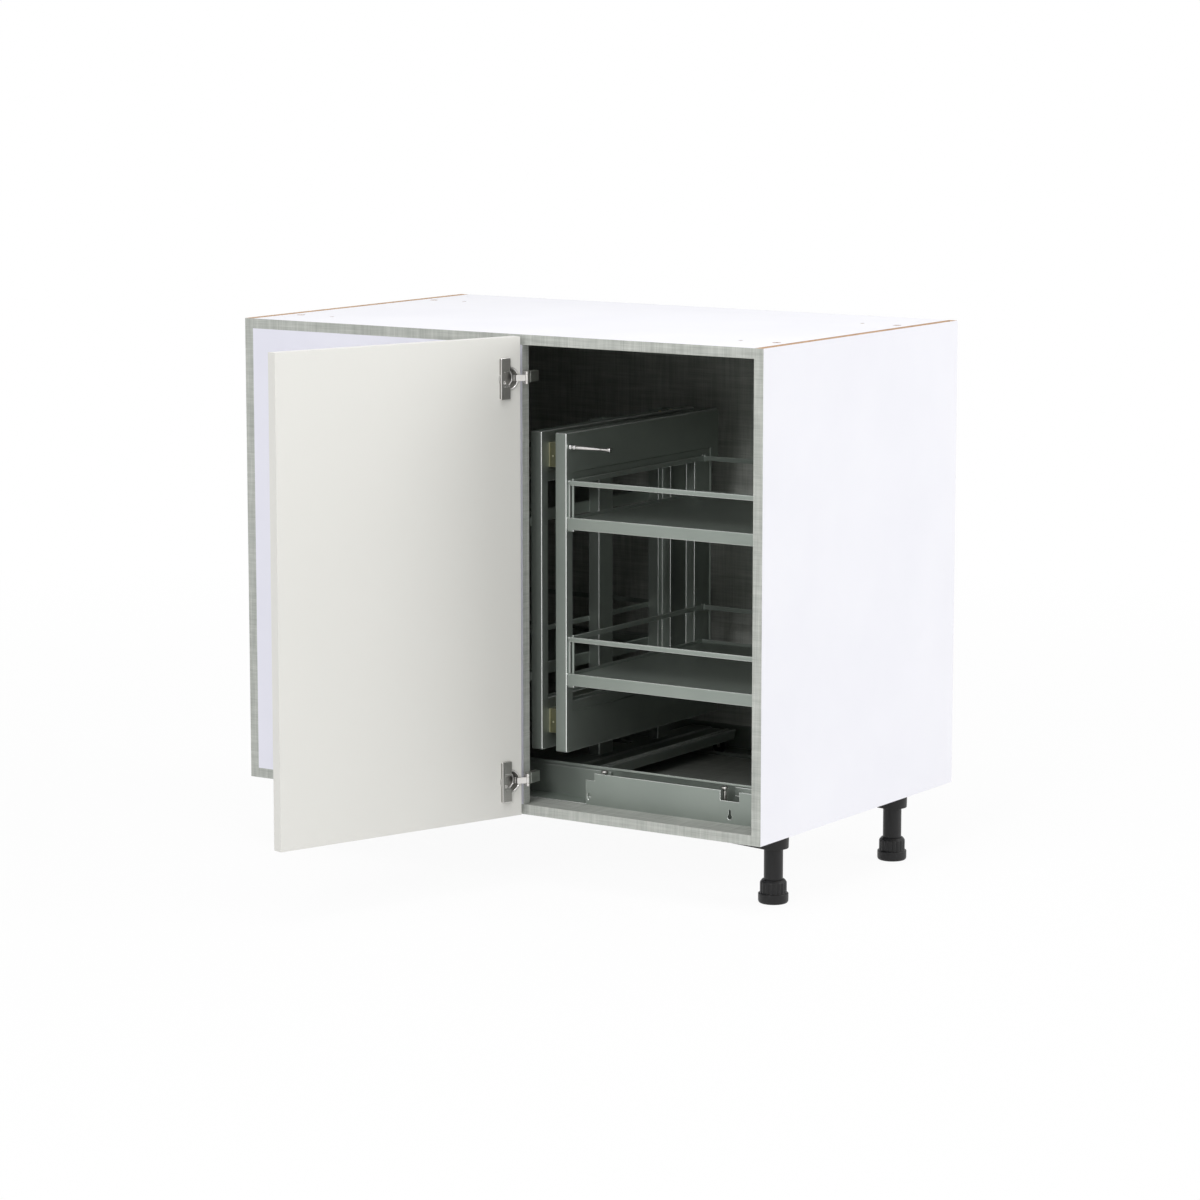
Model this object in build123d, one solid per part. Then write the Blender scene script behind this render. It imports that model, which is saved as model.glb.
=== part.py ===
from build123d import *
from math import acos, atan2, cos, degrees, hypot, pi, radians, sin
import os

# Blind corner base cabinet with one swing door and a two-part corner pull-out.
# Millimetres, Z up from the room's floor, Y from the front to the back, X to the right.
# An inset is measured leftwards from the carcass's right outer face, a depth backwards from its front plane,
# and a height upwards from the room's floor.

# Carcass
WIDTH = 990.6
HEIGHT = 762.0
DEPTH = 604.0
LEG_HEIGHT = 114.3
PANEL = 16.0
BAND = 1.0
OPENING_WIDTH = 422.5
CAM_RADIUS = 7.5
CAM_DRILL_DEPTH = 12.5
CAM_HEIGHT = 9.8
CAM_SETBACK = 21.4
CAM_CLEARANCE = 0.1
CAM_FROM_FRONT = 100.0
CAM_FROM_REAR = 133.0
BOLT_RADIUS = 3.5
BOLT_CLEARANCE = 0.1
BOLT_ANCHOR = 11.0
DOWEL_RADIUS = 4.0
DOWEL_LENGTH = 30.0
DOWEL_SIDE_DEPTH = 10.0
DOWEL_SPACING = 37.0
WORKTOP_HOLE_RADIUS = 4.4
WORKTOP_HOLE_INSET = 101.5
PILOT_RADIUS = 2.2
PILOT_DRILL_DEPTH = 5.0
PILOT_INSET = 46.5
PILOT_SETBACK = 47.0

# Legs
LEG_INSET = 46.0
LEG_SETBACK = 115.5
SOCKET_HEIGHT = 27.0
SOCKET_RADIUS = 24.2
SOCKET_TAIL_RADIUS = 12.0
SOCKET_TAIL_REACH = 70.0
SOCKET_WALL = 2.5
SOCKET_PLATE = 4.0
SOCKET_RING_WALL = 3.5
SOCKET_BOLT_REACHES = (33.0, 60.0)
TUBE_RADIUS = 15.0
TUBE_CLEARANCE = 0.1
COLLAR_RADIUS = 21.0
COLLAR_HEIGHT = 21.3
COLLAR_SHOULDER = 4.0
COLLAR_CLEARANCE = 0.4
COLLAR_FLUTES = 18
COLLAR_FLUTE_RADIUS = 1.5
PAD_RADIUS = 23.8
PAD_HEIGHT = 16.0
PAD_EDGE = 2.0
STEM_RADIUS = 8.0
STEM_LENGTH = 45.0
STEM_CLEARANCE = 0.1
FOOT_SCREW_RADIUS = 2.2
FOOT_SCREW_LENGTH = 13.0
SCREW_HEAD_RADIUS = 4.2
SCREW_HEAD_HEIGHT = 2.2

# Door
DOOR_WIDTH = 454.0
DOOR_HEIGHT = 758.0
DOOR_THICKNESS = 20.0
DOOR_EDGE = 2.5
DOOR_REVEAL = 2.0
DOOR_GAP = 2.5
DOOR_OPEN = 108.5
AXIS_FROM_EDGE = 7.0
AXIS_FROM_FACE = 13.0

# Concealed hinges
HINGE_FROM_BOTTOM = 56.5
HINGE_FROM_TOP = 64.0
CUP_RADIUS = 17.5
CUP_WALL = 1.0
CUP_DEPTH = 12.5
CUP_FROM_EDGE = 22.5
CUP_FLANGE_LENGTH = 65.0
CUP_FLANGE_WIDTH = 21.5
CUP_FLANGE_THICKNESS = 1.4
CUP_FLANGE_SETBACK = 9.75
CUP_FLANGE_CORNER = 2.5
CUP_RIM = 1.2
CUP_WING_LENGTH = 20.5
CUP_WING_THICKNESS = 4.5
CUP_WING_SLOPE = 2.5
CUP_CLEARANCE = 0.1
CUP_SCREW_SPACING = 48.0
CUP_SCREW_RADIUS = 1.8
CUP_SCREW_LENGTH = 11.0
LINK_TIP_FROM_EDGE = 10.0
LINK_TIP_IN_CUP = 2.0
LINK_ELBOW_FROM_EDGE = 9.5
LINK_ELBOW_PROUD = 2.7
LINK_HEIGHT = 12.0
LINK_THICKNESS = 2.5
LINK_TIP_RADIUS = 2.0
NOSE_FROM_EDGE = 31.9
NOSE_IN_CUP = 7.4
NOSE_RADIUS = 3.2
NOSE_PIN_RADIUS = 1.5
NOSE_PIN_CLEARANCE = 0.1
NOSE_HEIGHT = 19.0
LINK_GAP = 0.3
ARM_HEIGHT = 17.5
ARM_WIDTH = 7.0
ARM_SETBACK = 2.5
ARM_START = -4.0
ARM_DEPTH = 31.0
BRACKET_SHEET = 2.2
BRACKET_HEIGHT = 40.0
BRACKET_FLANGE = 36.0
BRACKET_SCREW_SPACING = 26.0
BRACKET_SCREW_SETBACK = 21.6
BRACKET_SCREW_RADIUS = 2.0
BRACKET_SCREW_LENGTH = 12.0

# Floor rails and carriage
SHEET = 1.5
RAIL_FRONT = 53.0
RAIL_WALL_SETBACK = 45.0
RAIL_RUNWAY = 32.0
RAIL_WALL_HEIGHT = 54.0
RAIL_END_GAP = 4.0
FASCIA_HEIGHT = 51.8
FASCIA_FROM_BLIND = 98.9
FASCIA_EAR = 17.0
FASCIA_EAR_HEIGHT = 40.0
FASCIA_NOTCH_INSET = 88.0
FASCIA_NOTCH_WIDTH = 34.6
FASCIA_NOTCH_DEPTH = 15.8
KEYHOLE_RADIUS = 4.0
KEYHOLE_SLOT = 2.0
KEYHOLE_LENGTH = 11.0
KEYHOLE_HEIGHT = 11.0
EAR_HOLE_RADIUS = 3.0
GUIDE_INSETS = (108.0, 332.0)
GUIDE_SETBACK = 18.0
GUIDE_RADIUS = 6.0
GUIDE_STEM_RADIUS = 3.6
GUIDE_CROWN = 4.0
GUIDE_HEIGHT = 54.0
GUIDE_HEAD = 12.0
REAR_RAIL_WIDTH = 70.0
REAR_RAIL_HEIGHT = 40.0
REAR_RAIL_LIP = 6.0
BACK_CLEARANCE = 1.0
BEAM_HEIGHT = 22.0
BEAM_THICKNESS = 16.0
BEAM_WIDTH = 89.0
BEAM_REAR_GAP = 28.0
BEAM_CORNER_CUT = 12.0
WHEEL_RADIUS = 12.5
WHEEL_WIDTH = 9.0
WHEEL_INSET = 14.0
WHEEL_SIDE_GAP = 0.5
AXLE_RADIUS = 3.0
AXLE_CLEARANCE = 0.05
WEB_DROP = 10.0
POST_WIDTH = 20.0
POST_DEPTH = 40.0
POST_SETBACKS = (193.0, 370.0)

# Pull-out and carriage frames
FRAME_FROM_BLIND = 47.5
FRAME_THICKNESS = 20.0
FRAME_FRONT = 50.0
FRAME_DEPTH = 450.0
FRAME_LIFT = 80.0
FRAME_HEIGHT = 509.4
FRAME_BAND = 81.0
FRAME_STEP_WIDTH = 19.0
FRAME_STEP_DEPTH = 2.0
FRONT_POST = 19.0
REAR_POST = 70.0
FRAME_SPACING = 47.0

# Telescopic slides between the two frames
SLIDE_HEIGHT = 39.0
SLIDE_LENGTH = 425.0
SLIDE_SETBACK = 21.0
SLIDE_FROM_BOTTOM = 44.7
SLIDE_FROM_TOP = 38.2
SLIDE_DEPTH = 12.5
SLIDE_LIP = 5.0
SLIDE_RUNNING = 0.4
SLIDE_NECK = 3.0
SLIDE_RACE = 3.0
SLIDE_RACE_DEPTH = 5.0

# Trays and gallery rails
TRAY_SIDE_GAP = 10.0
TRAY_DEPTH = 401.0
TRAY_RIM = 19.0
TRAY_SHEET = 2.0
TRAY_FLOOR_DROP = 5.0
TRAY_FROM_BOTTOM = 109.0
TRAY_FROM_TOP = 151.6
GALLERY_RISE = 51.0
GALLERY_HEIGHT = 7.5
GALLERY_DEPTH = 5.0
GALLERY_ROD_RADIUS = 2.5
GALLERY_NUB = 3.0
GALLERY_ROD_CLEARANCE = 0.1
REAR_TRAY_GAP = 76.6
HOOK_DEPTH = 12.0
HOOK_HEIGHT = 14.0

# Pull handle
HANDLE_LENGTH = 78.0
HANDLE_FROM_TOP = 22.4
HANDLE_RADIUS = 5.5
HANDLE_WAIST = 3.4
HANDLE_WAIST_AT = 56.0
HANDLE_TIP_EDGE = 1.0
HANDLE_COLLAR_RADIUS = 7.0
HANDLE_COLLAR = 3.0

# A cutting solid runs this far past the face that it opens
PAST = 1.0

# Planes and places worked out from the sizes above
RIGHT = WIDTH / 2
UNDERSIDE = LEG_HEIGHT
TOP = LEG_HEIGHT + HEIGHT
INNER_FLOOR = UNDERSIDE + PANEL
INNER_CEILING = TOP - PANEL
BLIND_EDGE = PANEL + OPENING_WIDTH
DOOR_BOTTOM = UNDERSIDE + DOOR_REVEAL
HINGE_EDGE = DOOR_REVEAL + DOOR_WIDTH
AXIS_INSET = HINGE_EDGE - AXIS_FROM_EDGE
AXIS_DEPTH = -DOOR_GAP - AXIS_FROM_FACE
BACK_FACE = DEPTH - PANEL
CAM_DEPTHS = (CAM_FROM_FRONT, DEPTH - CAM_FROM_REAR)
HINGE_HEIGHTS = (DOOR_BOTTOM + HINGE_FROM_BOTTOM, DOOR_BOTTOM + DOOR_HEIGHT - HINGE_FROM_TOP)
FASCIA_END = BLIND_EDGE - FASCIA_FROM_BLIND
FRAME_INSET = BLIND_EDGE - FRAME_FROM_BLIND
FRAME_BOTTOM = INNER_FLOOR + FRAME_LIFT
FRAME_TOP = FRAME_BOTTOM + FRAME_HEIGHT
CARRIAGE_INSET = FRAME_INSET + FRAME_SPACING
CARRIAGE_LEFT = CARRIAGE_INSET + FRAME_THICKNESS
SLIDE_HEIGHTS = (FRAME_BOTTOM + SLIDE_FROM_BOTTOM, FRAME_TOP - SLIDE_FROM_TOP)
TRAY_HEIGHTS = (FRAME_BOTTOM + TRAY_FROM_BOTTOM, FRAME_TOP - TRAY_FROM_TOP)
TRAY_RIGHT_INSET = PANEL + TRAY_SIDE_GAP


def turned(inset, depth, angle):
    """Where a point of the closed door lies, as inset and depth, once the door has turned by the angle."""
    away, back = inset - AXIS_INSET, depth - AXIS_DEPTH
    c, s = cos(radians(angle)), sin(radians(angle))
    return AXIS_INSET + away * c - back * s, AXIS_DEPTH + away * s + back * c


# The open door's free inner corner is the foremost point of the cabinet, which centres the frame's Y
DOOR_REACH = turned(DOOR_REVEAL, -DOOR_GAP, DOOR_OPEN)[1]
FRONT = -(DEPTH + DOOR_REACH) / 2

parts = {}


def place(inset, depth, height):
    """The location of a point given by its inset, depth and height."""
    return Pos(RIGHT - inset, FRONT + depth, height)


def block(insets, depths, heights):
    """A cuboid between two insets, two depths and two heights."""
    middle = [(low + high) / 2 for low, high in (insets, depths, heights)]
    spans = [high - low for low, high in (insets, depths, heights)]
    return place(*middle) * Box(*spans)


def upright(inset, depth, bottom, radius, height):
    """A vertical cylinder standing on the given height."""
    return place(inset, depth, bottom + height / 2) * Cylinder(radius, height)


def across(inset, depth, height, radius, length):
    """A cylinder along X whose right end is at the inset."""
    return place(inset + length / 2, depth, height) * Rot(0, 90, 0) * Cylinder(radius, length)


def along(inset, depth, height, radius, length):
    """A cylinder along Y that starts at the depth and runs backwards."""
    return place(inset, depth + length / 2, height) * Rot(90, 0, 0) * Cylinder(radius, length)


def opened(shape, angle=DOOR_OPEN):
    """The shape turned with the door from its closed place."""
    axis = place(AXIS_INSET, AXIS_DEPTH, 0)
    return axis * Rot(0, 0, -angle) * axis.inverse() * shape


def keep(name, *shapes):
    """Record a node made of one or more separate solids."""
    parts[name] = shapes[0] if len(shapes) == 1 else Compound(children=list(shapes))


def both_sides(inset):
    """An inset and its mirror image about the carcass's middle."""
    return inset, WIDTH - inset


def cam_spots():
    """Inset and depth of each cam, with the side it pulls towards: 1 for right, -1 for left."""
    for side, inset in zip((1, -1), both_sides(PANEL + CAM_SETBACK)):
        for depth in CAM_DEPTHS:
            yield inset, depth, side


def dowel_depths():
    """Depths of the dowels, one beside each cam bolt."""
    return [depth + DOWEL_SPACING for depth in CAM_DEPTHS]


def side_joinery(height):
    """Bolt and dowel holes through the side panels' inner faces and a deck's ends, at one height."""
    cuts = []
    for inset, depth, side in cam_spots():
        start = PANEL - BOLT_ANCHOR if side > 0 else WIDTH - PANEL - CAM_SETBACK
        reach = CAM_SETBACK + BOLT_ANCHOR
        cuts.append(across(start, depth, height, BOLT_RADIUS + BOLT_CLEARANCE, reach))
        start = PANEL - DOWEL_SIDE_DEPTH
        if side < 0:
            start = WIDTH - PANEL + DOWEL_SIDE_DEPTH - DOWEL_LENGTH
        cuts.append(across(start, depth + DOWEL_SPACING, height, DOWEL_RADIUS, DOWEL_LENGTH))
    return cuts


def carcass():
    deck_heights = (UNDERSIDE + PANEL / 2, TOP - PANEL / 2)
    joinery = [cut for height in deck_heights for cut in side_joinery(height)]
    full = (UNDERSIDE, TOP)
    right = block((0, PANEL), (BAND, DEPTH), full)
    left = block((WIDTH - PANEL, WIDTH), (BAND, DEPTH), full)
    for cut in joinery:
        right -= cut
        left -= cut
    keep("side_panel_right", right)
    keep("side_panel_left", left)

    between = (PANEL, WIDTH - PANEL)
    top = block(between, (BAND, DEPTH), (INNER_CEILING, TOP))
    bottom = block(between, (BAND, DEPTH), (UNDERSIDE, INNER_FLOOR))
    for inset, depth, _ in cam_spots():
        top -= upright(inset, depth, TOP - CAM_DRILL_DEPTH, CAM_RADIUS, CAM_DRILL_DEPTH)
        bottom -= upright(inset, depth, UNDERSIDE, CAM_RADIUS, CAM_DRILL_DEPTH)
    for inset in both_sides(WORKTOP_HOLE_INSET):
        for depth in CAM_DEPTHS:
            top -= upright(inset, depth, INNER_CEILING, WORKTOP_HOLE_RADIUS, PANEL)
    for inset in both_sides(PILOT_INSET):
        for depth in (PILOT_SETBACK, DEPTH - PILOT_SETBACK):
            top -= upright(inset, depth, TOP - PILOT_DRILL_DEPTH, PILOT_RADIUS, PILOT_DRILL_DEPTH)
    for inset, depth in foot_screw_spots():
        bottom -= upright(inset, depth, UNDERSIDE, FOOT_SCREW_RADIUS, FOOT_SCREW_LENGTH - SOCKET_PLATE)
    for cut in joinery:
        top -= cut
        bottom -= cut
    keep("top_panel", top)
    keep("bottom_panel", bottom)

    inner = (INNER_FLOOR, INNER_CEILING)
    keep("back_panel", block(between, (BACK_FACE, DEPTH), inner))
    blind = block((BLIND_EDGE + BAND, WIDTH - PANEL), (0, PANEL), inner)
    for height in HINGE_HEIGHTS:
        for spot in bracket_screw_heights(height):
            inset, length = bracket_screw_inset(), BRACKET_SCREW_LENGTH - BRACKET_SHEET
            blind -= along(inset, PANEL - length, spot, BRACKET_SCREW_RADIUS, length)
    keep("blind_panel", blind)

    keep(
        "edge_bands",
        block((0, PANEL), (0, BAND), full),
        block((WIDTH - PANEL, WIDTH), (0, BAND), full),
        block(between, (0, BAND), (INNER_CEILING, TOP)),
        block(between, (0, BAND), (UNDERSIDE, INNER_FLOOR)),
        block((BLIND_EDGE, BLIND_EDGE + BAND), (0, PANEL), inner),
    )


def fittings():
    cams, bolts, dowels = [], [], []
    for height, face in ((UNDERSIDE + PANEL / 2, UNDERSIDE), (TOP - PANEL / 2, TOP)):
        inward = 1 if face == UNDERSIDE else -1
        deep_end = face + inward * CAM_DRILL_DEPTH
        bottom = min(deep_end, deep_end - inward * CAM_HEIGHT)
        for inset, depth, side in cam_spots():
            cam = upright(inset, depth, bottom, CAM_RADIUS - CAM_CLEARANCE, CAM_HEIGHT)
            socket_reach = BOLT_RADIUS * 2
            bite = inset + (-CAM_RADIUS if side > 0 else CAM_RADIUS - socket_reach)
            cam -= across(bite, depth, height, BOLT_RADIUS + BOLT_CLEARANCE, socket_reach)
            cams.append(cam)
            reach = CAM_SETBACK + BOLT_ANCHOR - CAM_RADIUS + BOLT_RADIUS
            start = PANEL - BOLT_ANCHOR if side > 0 else WIDTH - PANEL + BOLT_ANCHOR - reach
            bolts.append(across(start, depth, height, BOLT_RADIUS, reach))
        for depth in dowel_depths():
            for start in (PANEL - DOWEL_SIDE_DEPTH, WIDTH - PANEL + DOWEL_SIDE_DEPTH - DOWEL_LENGTH):
                dowels.append(across(start, depth, height, DOWEL_RADIUS, DOWEL_LENGTH))
    keep("cam_locks", *cams)
    keep("cam_bolts", *bolts)
    keep("dowels", *dowels)


def leg_spots():
    """Name, inset, depth and the direction of the socket's tail, in insets, for each leg."""
    for side, inset in zip(("right", "left"), both_sides(LEG_INSET)):
        for end, depth in (("front", LEG_SETBACK), ("rear", DEPTH - LEG_SETBACK)):
            yield f"{end}_{side}", inset, depth, 1 if side == "right" else -1


def foot_screw_spots():
    """Inset and depth of the screws that hold the leg sockets."""
    for _, inset, depth, tail in leg_spots():
        for reach in SOCKET_BOLT_REACHES:
            yield inset + tail * reach, depth


def teardrop(big, small, reach):
    """A round end at the origin joined by tangents to a smaller round end along -X."""
    angle = acos((big - small) / reach)
    corners = [(-big * cos(angle), big * sin(angle)), (-reach - small * cos(angle), small * sin(angle))]
    mirror = [(x, -y) for x, y in reversed(corners)]
    return Circle(big) + Pos(-reach, 0) * Circle(small) + make_face(Polyline(*corners, *mirror, close=True))


def leg_socket(inset, depth, tail):
    """A teardrop plate with a skirt, and a ring that the leg's tube pushes into."""
    low = UNDERSIDE - SOCKET_HEIGHT
    outside = extrude(teardrop(SOCKET_RADIUS, SOCKET_TAIL_RADIUS, SOCKET_TAIL_REACH), SOCKET_HEIGHT)
    inner = teardrop(SOCKET_RADIUS - SOCKET_WALL, SOCKET_TAIL_RADIUS - SOCKET_WALL, SOCKET_TAIL_REACH)
    shell = outside - extrude(inner, SOCKET_HEIGHT - SOCKET_PLATE)
    bore = TUBE_RADIUS + TUBE_CLEARANCE
    skirt = SOCKET_HEIGHT - SOCKET_PLATE
    ring = Cylinder(bore + SOCKET_RING_WALL, skirt) - Cylinder(bore, skirt)
    socket = shell + Pos(0, 0, skirt / 2) * ring
    for reach in SOCKET_BOLT_REACHES:
        socket -= Pos(-reach, 0, SOCKET_HEIGHT) * Cylinder(FOOT_SCREW_RADIUS, 3 * SOCKET_PLATE)
    return place(inset, depth, low) * Rot(0, 0, 0 if tail > 0 else 180) * socket


def leg_tube(inset, depth):
    """The leg's tube, from the socket's plate down into the foot's collar."""
    low = PAD_HEIGHT
    height = UNDERSIDE - SOCKET_PLATE - low
    tube = upright(inset, depth, low, TUBE_RADIUS, height)
    return tube - upright(inset, depth, low, STEM_RADIUS + STEM_CLEARANCE, height)


def foot():
    """Pad, fluted collar and threaded stem in one moulding, standing on the floor at the origin."""
    pad = Pos(0, 0, PAD_HEIGHT / 2) * Cylinder(PAD_RADIUS, PAD_HEIGHT)
    pad = chamfer(pad.edges().filter_by(GeomType.CIRCLE), PAD_EDGE)
    grip = Pos(0, 0, PAD_HEIGHT + COLLAR_HEIGHT / 2) * Cylinder(COLLAR_RADIUS, COLLAR_HEIGHT)
    grip = chamfer(grip.edges().filter_by(GeomType.CIRCLE).sort_by(Axis.Z)[-1], COLLAR_SHOULDER)
    ring_at = COLLAR_RADIUS + COLLAR_FLUTE_RADIUS / 2
    for turn in range(COLLAR_FLUTES):
        groove = Cylinder(COLLAR_FLUTE_RADIUS, COLLAR_HEIGHT - COLLAR_SHOULDER)
        angle = 2 * pi * turn / COLLAR_FLUTES
        middle = PAD_HEIGHT + (COLLAR_HEIGHT - COLLAR_SHOULDER) / 2
        grip -= Pos(ring_at * cos(angle), ring_at * sin(angle), middle) * groove
    bore = TUBE_RADIUS + COLLAR_CLEARANCE
    grip -= Pos(0, 0, PAD_HEIGHT + COLLAR_HEIGHT / 2) * Cylinder(bore, COLLAR_HEIGHT)
    stem = Pos(0, 0, PAD_HEIGHT + STEM_LENGTH / 2) * Cylinder(STEM_RADIUS, STEM_LENGTH)
    return pad + grip + stem


def screw(radius, length):
    """A pan-head screw whose shank runs up from the origin and whose head hangs below it."""
    head = Pos(0, 0, -SCREW_HEAD_HEIGHT / 2) * Cylinder(SCREW_HEAD_RADIUS, SCREW_HEAD_HEIGHT)
    head = chamfer(head.edges().filter_by(GeomType.CIRCLE).sort_by(Axis.Z)[0], SCREW_HEAD_HEIGHT / 2)
    return head + Pos(0, 0, length / 2) * Cylinder(radius, length)


def legs():
    moulded = foot()
    for name, inset, depth, tail in leg_spots():
        keep(f"leg_socket_{name}", leg_socket(inset, depth, tail))
        keep(f"leg_tube_{name}", leg_tube(inset, depth))
        keep(f"foot_{name}", place(inset, depth, 0) * moulded)
    low = UNDERSIDE - SOCKET_PLATE
    fixings = [place(*spot, low) * screw(FOOT_SCREW_RADIUS, FOOT_SCREW_LENGTH) for spot in foot_screw_spots()]
    keep("socket_screws", *fixings)


def door():
    width, height = (DOOR_REVEAL, HINGE_EDGE), (DOOR_BOTTOM, DOOR_BOTTOM + DOOR_HEIGHT)
    outer = -DOOR_GAP - DOOR_THICKNESS
    panel = block(width, (outer, -DOOR_GAP), height)
    front = panel.faces().sort_by(Axis.Y)[0]
    panel = fillet(front.edges(), DOOR_EDGE)
    for middle in HINGE_HEIGHTS:
        panel -= cup_cylinder(middle, CUP_RADIUS + CUP_CLEARANCE, CUP_DEPTH)
        for spot in cup_screw_heights(middle):
            length = CUP_SCREW_LENGTH - CUP_FLANGE_THICKNESS
            panel -= along(flange_inset(), -DOOR_GAP - length, spot, CUP_SCREW_RADIUS, length)
    keep("door_panel", opened(panel))


def cup_inset():
    """Inset of the hinge cups' axes on the closed door."""
    return HINGE_EDGE - CUP_FROM_EDGE


def flange_inset():
    """Inset of the middle of the hinge cups' flanges, which lie on the side away from the door's hinge edge."""
    return cup_inset() - CUP_FLANGE_SETBACK


def cup_cylinder(middle, radius, length, proud=0.0):
    """A cylinder about a hinge cup's axis, from above the door's inner face down into the door."""
    return along(cup_inset(), -DOOR_GAP - length, middle, radius, length + proud)


def cup_screw_heights(middle):
    """Heights of the two screws of a hinge cup."""
    return middle - CUP_SCREW_SPACING / 2, middle + CUP_SCREW_SPACING / 2


def bracket_screw_heights(middle):
    """Heights of the two screws of a hinge bracket."""
    return middle - BRACKET_SCREW_SPACING / 2, middle + BRACKET_SCREW_SPACING / 2


def bracket_screw_inset():
    """Inset of the screws that hold a hinge bracket to the blind panel's back."""
    return BLIND_EDGE + BRACKET_SCREW_SETBACK


def hinge_cup(middle):
    """A pressed cup with a flange on the door's inner face and a raised wing at each end of the flange."""
    proud = CUP_FLANGE_THICKNESS
    face = (-DOOR_GAP, -DOOR_GAP + proud)
    half, wing = CUP_FLANGE_LENGTH / 2, CUP_FLANGE_WIDTH / 2
    insets = (flange_inset() - wing, flange_inset() + wing)
    flange = block(insets, face, (middle - half, middle + half))
    flange = fillet(flange.edges().filter_by(Axis.Y), CUP_FLANGE_CORNER)
    rim = place(cup_inset(), sum(face) / 2, middle) * Rot(90, 0, 0) * Cylinder(CUP_RADIUS + CUP_RIM, proud)
    cup = flange + rim + cup_cylinder(middle, CUP_RADIUS, CUP_DEPTH - CUP_CLEARANCE)
    inner_depth = CUP_DEPTH - CUP_CLEARANCE - CUP_WALL
    cup -= cup_cylinder(middle, CUP_RADIUS - CUP_WALL, inner_depth, proud)
    for end in (-1, 1):
        heights = sorted((middle + end * half, middle + end * (half - CUP_WING_LENGTH)))
        raised = block(insets, (-DOOR_GAP, -DOOR_GAP + CUP_WING_THICKNESS), heights)
        far = raised.faces().sort_by(Axis.Z)[-1 if end > 0 else 0]
        raised = chamfer(far.edges().sort_by(Axis.Y)[-1], CUP_WING_SLOPE)
        cup += raised
    head = SCREW_HEAD_RADIUS + CUP_CLEARANCE
    for spot in cup_screw_heights(middle):
        cup -= along(flange_inset(), -DOOR_GAP, spot, CUP_SCREW_RADIUS, proud)
        cup -= along(flange_inset(), -DOOR_GAP + proud, spot, head, CUP_WING_THICKNESS)
    return opened(cup)


def nose_point():
    """Inset and depth of the pin at the hinge arm's nose, which dips into the closed door's cup."""
    return HINGE_EDGE - NOSE_FROM_EDGE, -DOOR_GAP - NOSE_IN_CUP


def link_points():
    """Inset and depth of the link's elbow, outside the open door's cup, and of its tip, inside it."""
    elbow = turned(HINGE_EDGE - LINK_ELBOW_FROM_EDGE, -DOOR_GAP + LINK_ELBOW_PROUD, DOOR_OPEN)
    tip = turned(HINGE_EDGE - LINK_TIP_FROM_EDGE, -DOOR_GAP - LINK_TIP_IN_CUP, DOOR_OPEN)
    return elbow, tip


def bar(start, end, bottom, width, height):
    """An upright bar with round ends between two points given by inset and depth."""
    length = hypot(end[0] - start[0], end[1] - start[1])
    angle = degrees(atan2(end[1] - start[1], start[0] - end[0]))
    outline = SlotCenterToCenter(length, width)
    middle = [(low + high) / 2 for low, high in zip(start, end)]
    return place(*middle, bottom) * Rot(0, 0, angle) * extrude(outline, height)


def hinge_link(middle):
    """The cranked link from the arm's nose pin, over the cup's rim and down into the cup."""
    nose, (elbow, tip) = nose_point(), link_points()
    low = middle - LINK_HEIGHT / 2
    link = bar(nose, elbow, low, LINK_THICKNESS, LINK_HEIGHT)
    link += bar(elbow, tip, low, LINK_THICKNESS, LINK_HEIGHT)
    link += upright(*nose, low, NOSE_RADIUS, LINK_HEIGHT)
    link += upright(*tip, low, LINK_TIP_RADIUS, LINK_HEIGHT)
    return link - upright(*nose, low, NOSE_PIN_RADIUS + NOSE_PIN_CLEARANCE, LINK_HEIGHT)


def arm_insets():
    """The right and left faces of the hinge arm's body, just clear of the blind panel's edge."""
    left = BLIND_EDGE - ARM_SETBACK
    return left - ARM_WIDTH, left


def hinge_arm(middle):
    """The arm: two cheeks that hold the nose pin, and a body that runs back past the blind panel."""
    nose, insets = nose_point(), arm_insets()
    heel = (insets[0] + NOSE_RADIUS, ARM_START + NOSE_RADIUS)
    low, gap = middle - NOSE_HEIGHT / 2, LINK_HEIGHT / 2 + LINK_GAP
    arm = bar(nose, heel, low, 2 * NOSE_RADIUS, NOSE_HEIGHT)
    arm -= bar(nose, heel, middle - gap, 4 * NOSE_RADIUS, 2 * gap)
    arm += upright(*nose, middle - gap, NOSE_PIN_RADIUS, 2 * gap)
    body = block(insets, (ARM_START, ARM_DEPTH), (middle - ARM_HEIGHT / 2, middle + ARM_HEIGHT / 2))
    return arm + fillet(body.edges().filter_by(Axis.Z).sort_by(Axis.Y)[-2:], ARM_WIDTH / 4)


def hinge_bracket(middle):
    """The angle bracket behind the blind panel's edge that carries the arm."""
    side = arm_insets()[1]
    half = BRACKET_HEIGHT / 2
    heights = (middle - half, middle + half)
    flange = block((side, BLIND_EDGE + BRACKET_FLANGE), (PANEL, PANEL + BRACKET_SHEET), heights)
    leg_heights = (middle - ARM_HEIGHT / 2, middle + ARM_HEIGHT / 2)
    leg = block((side, side + BRACKET_SHEET), (PANEL, ARM_DEPTH), leg_heights)
    bracket = flange + leg
    for spot in bracket_screw_heights(middle):
        bracket -= along(bracket_screw_inset(), PANEL, spot, BRACKET_SCREW_RADIUS, BRACKET_SHEET)
    return bracket


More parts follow.
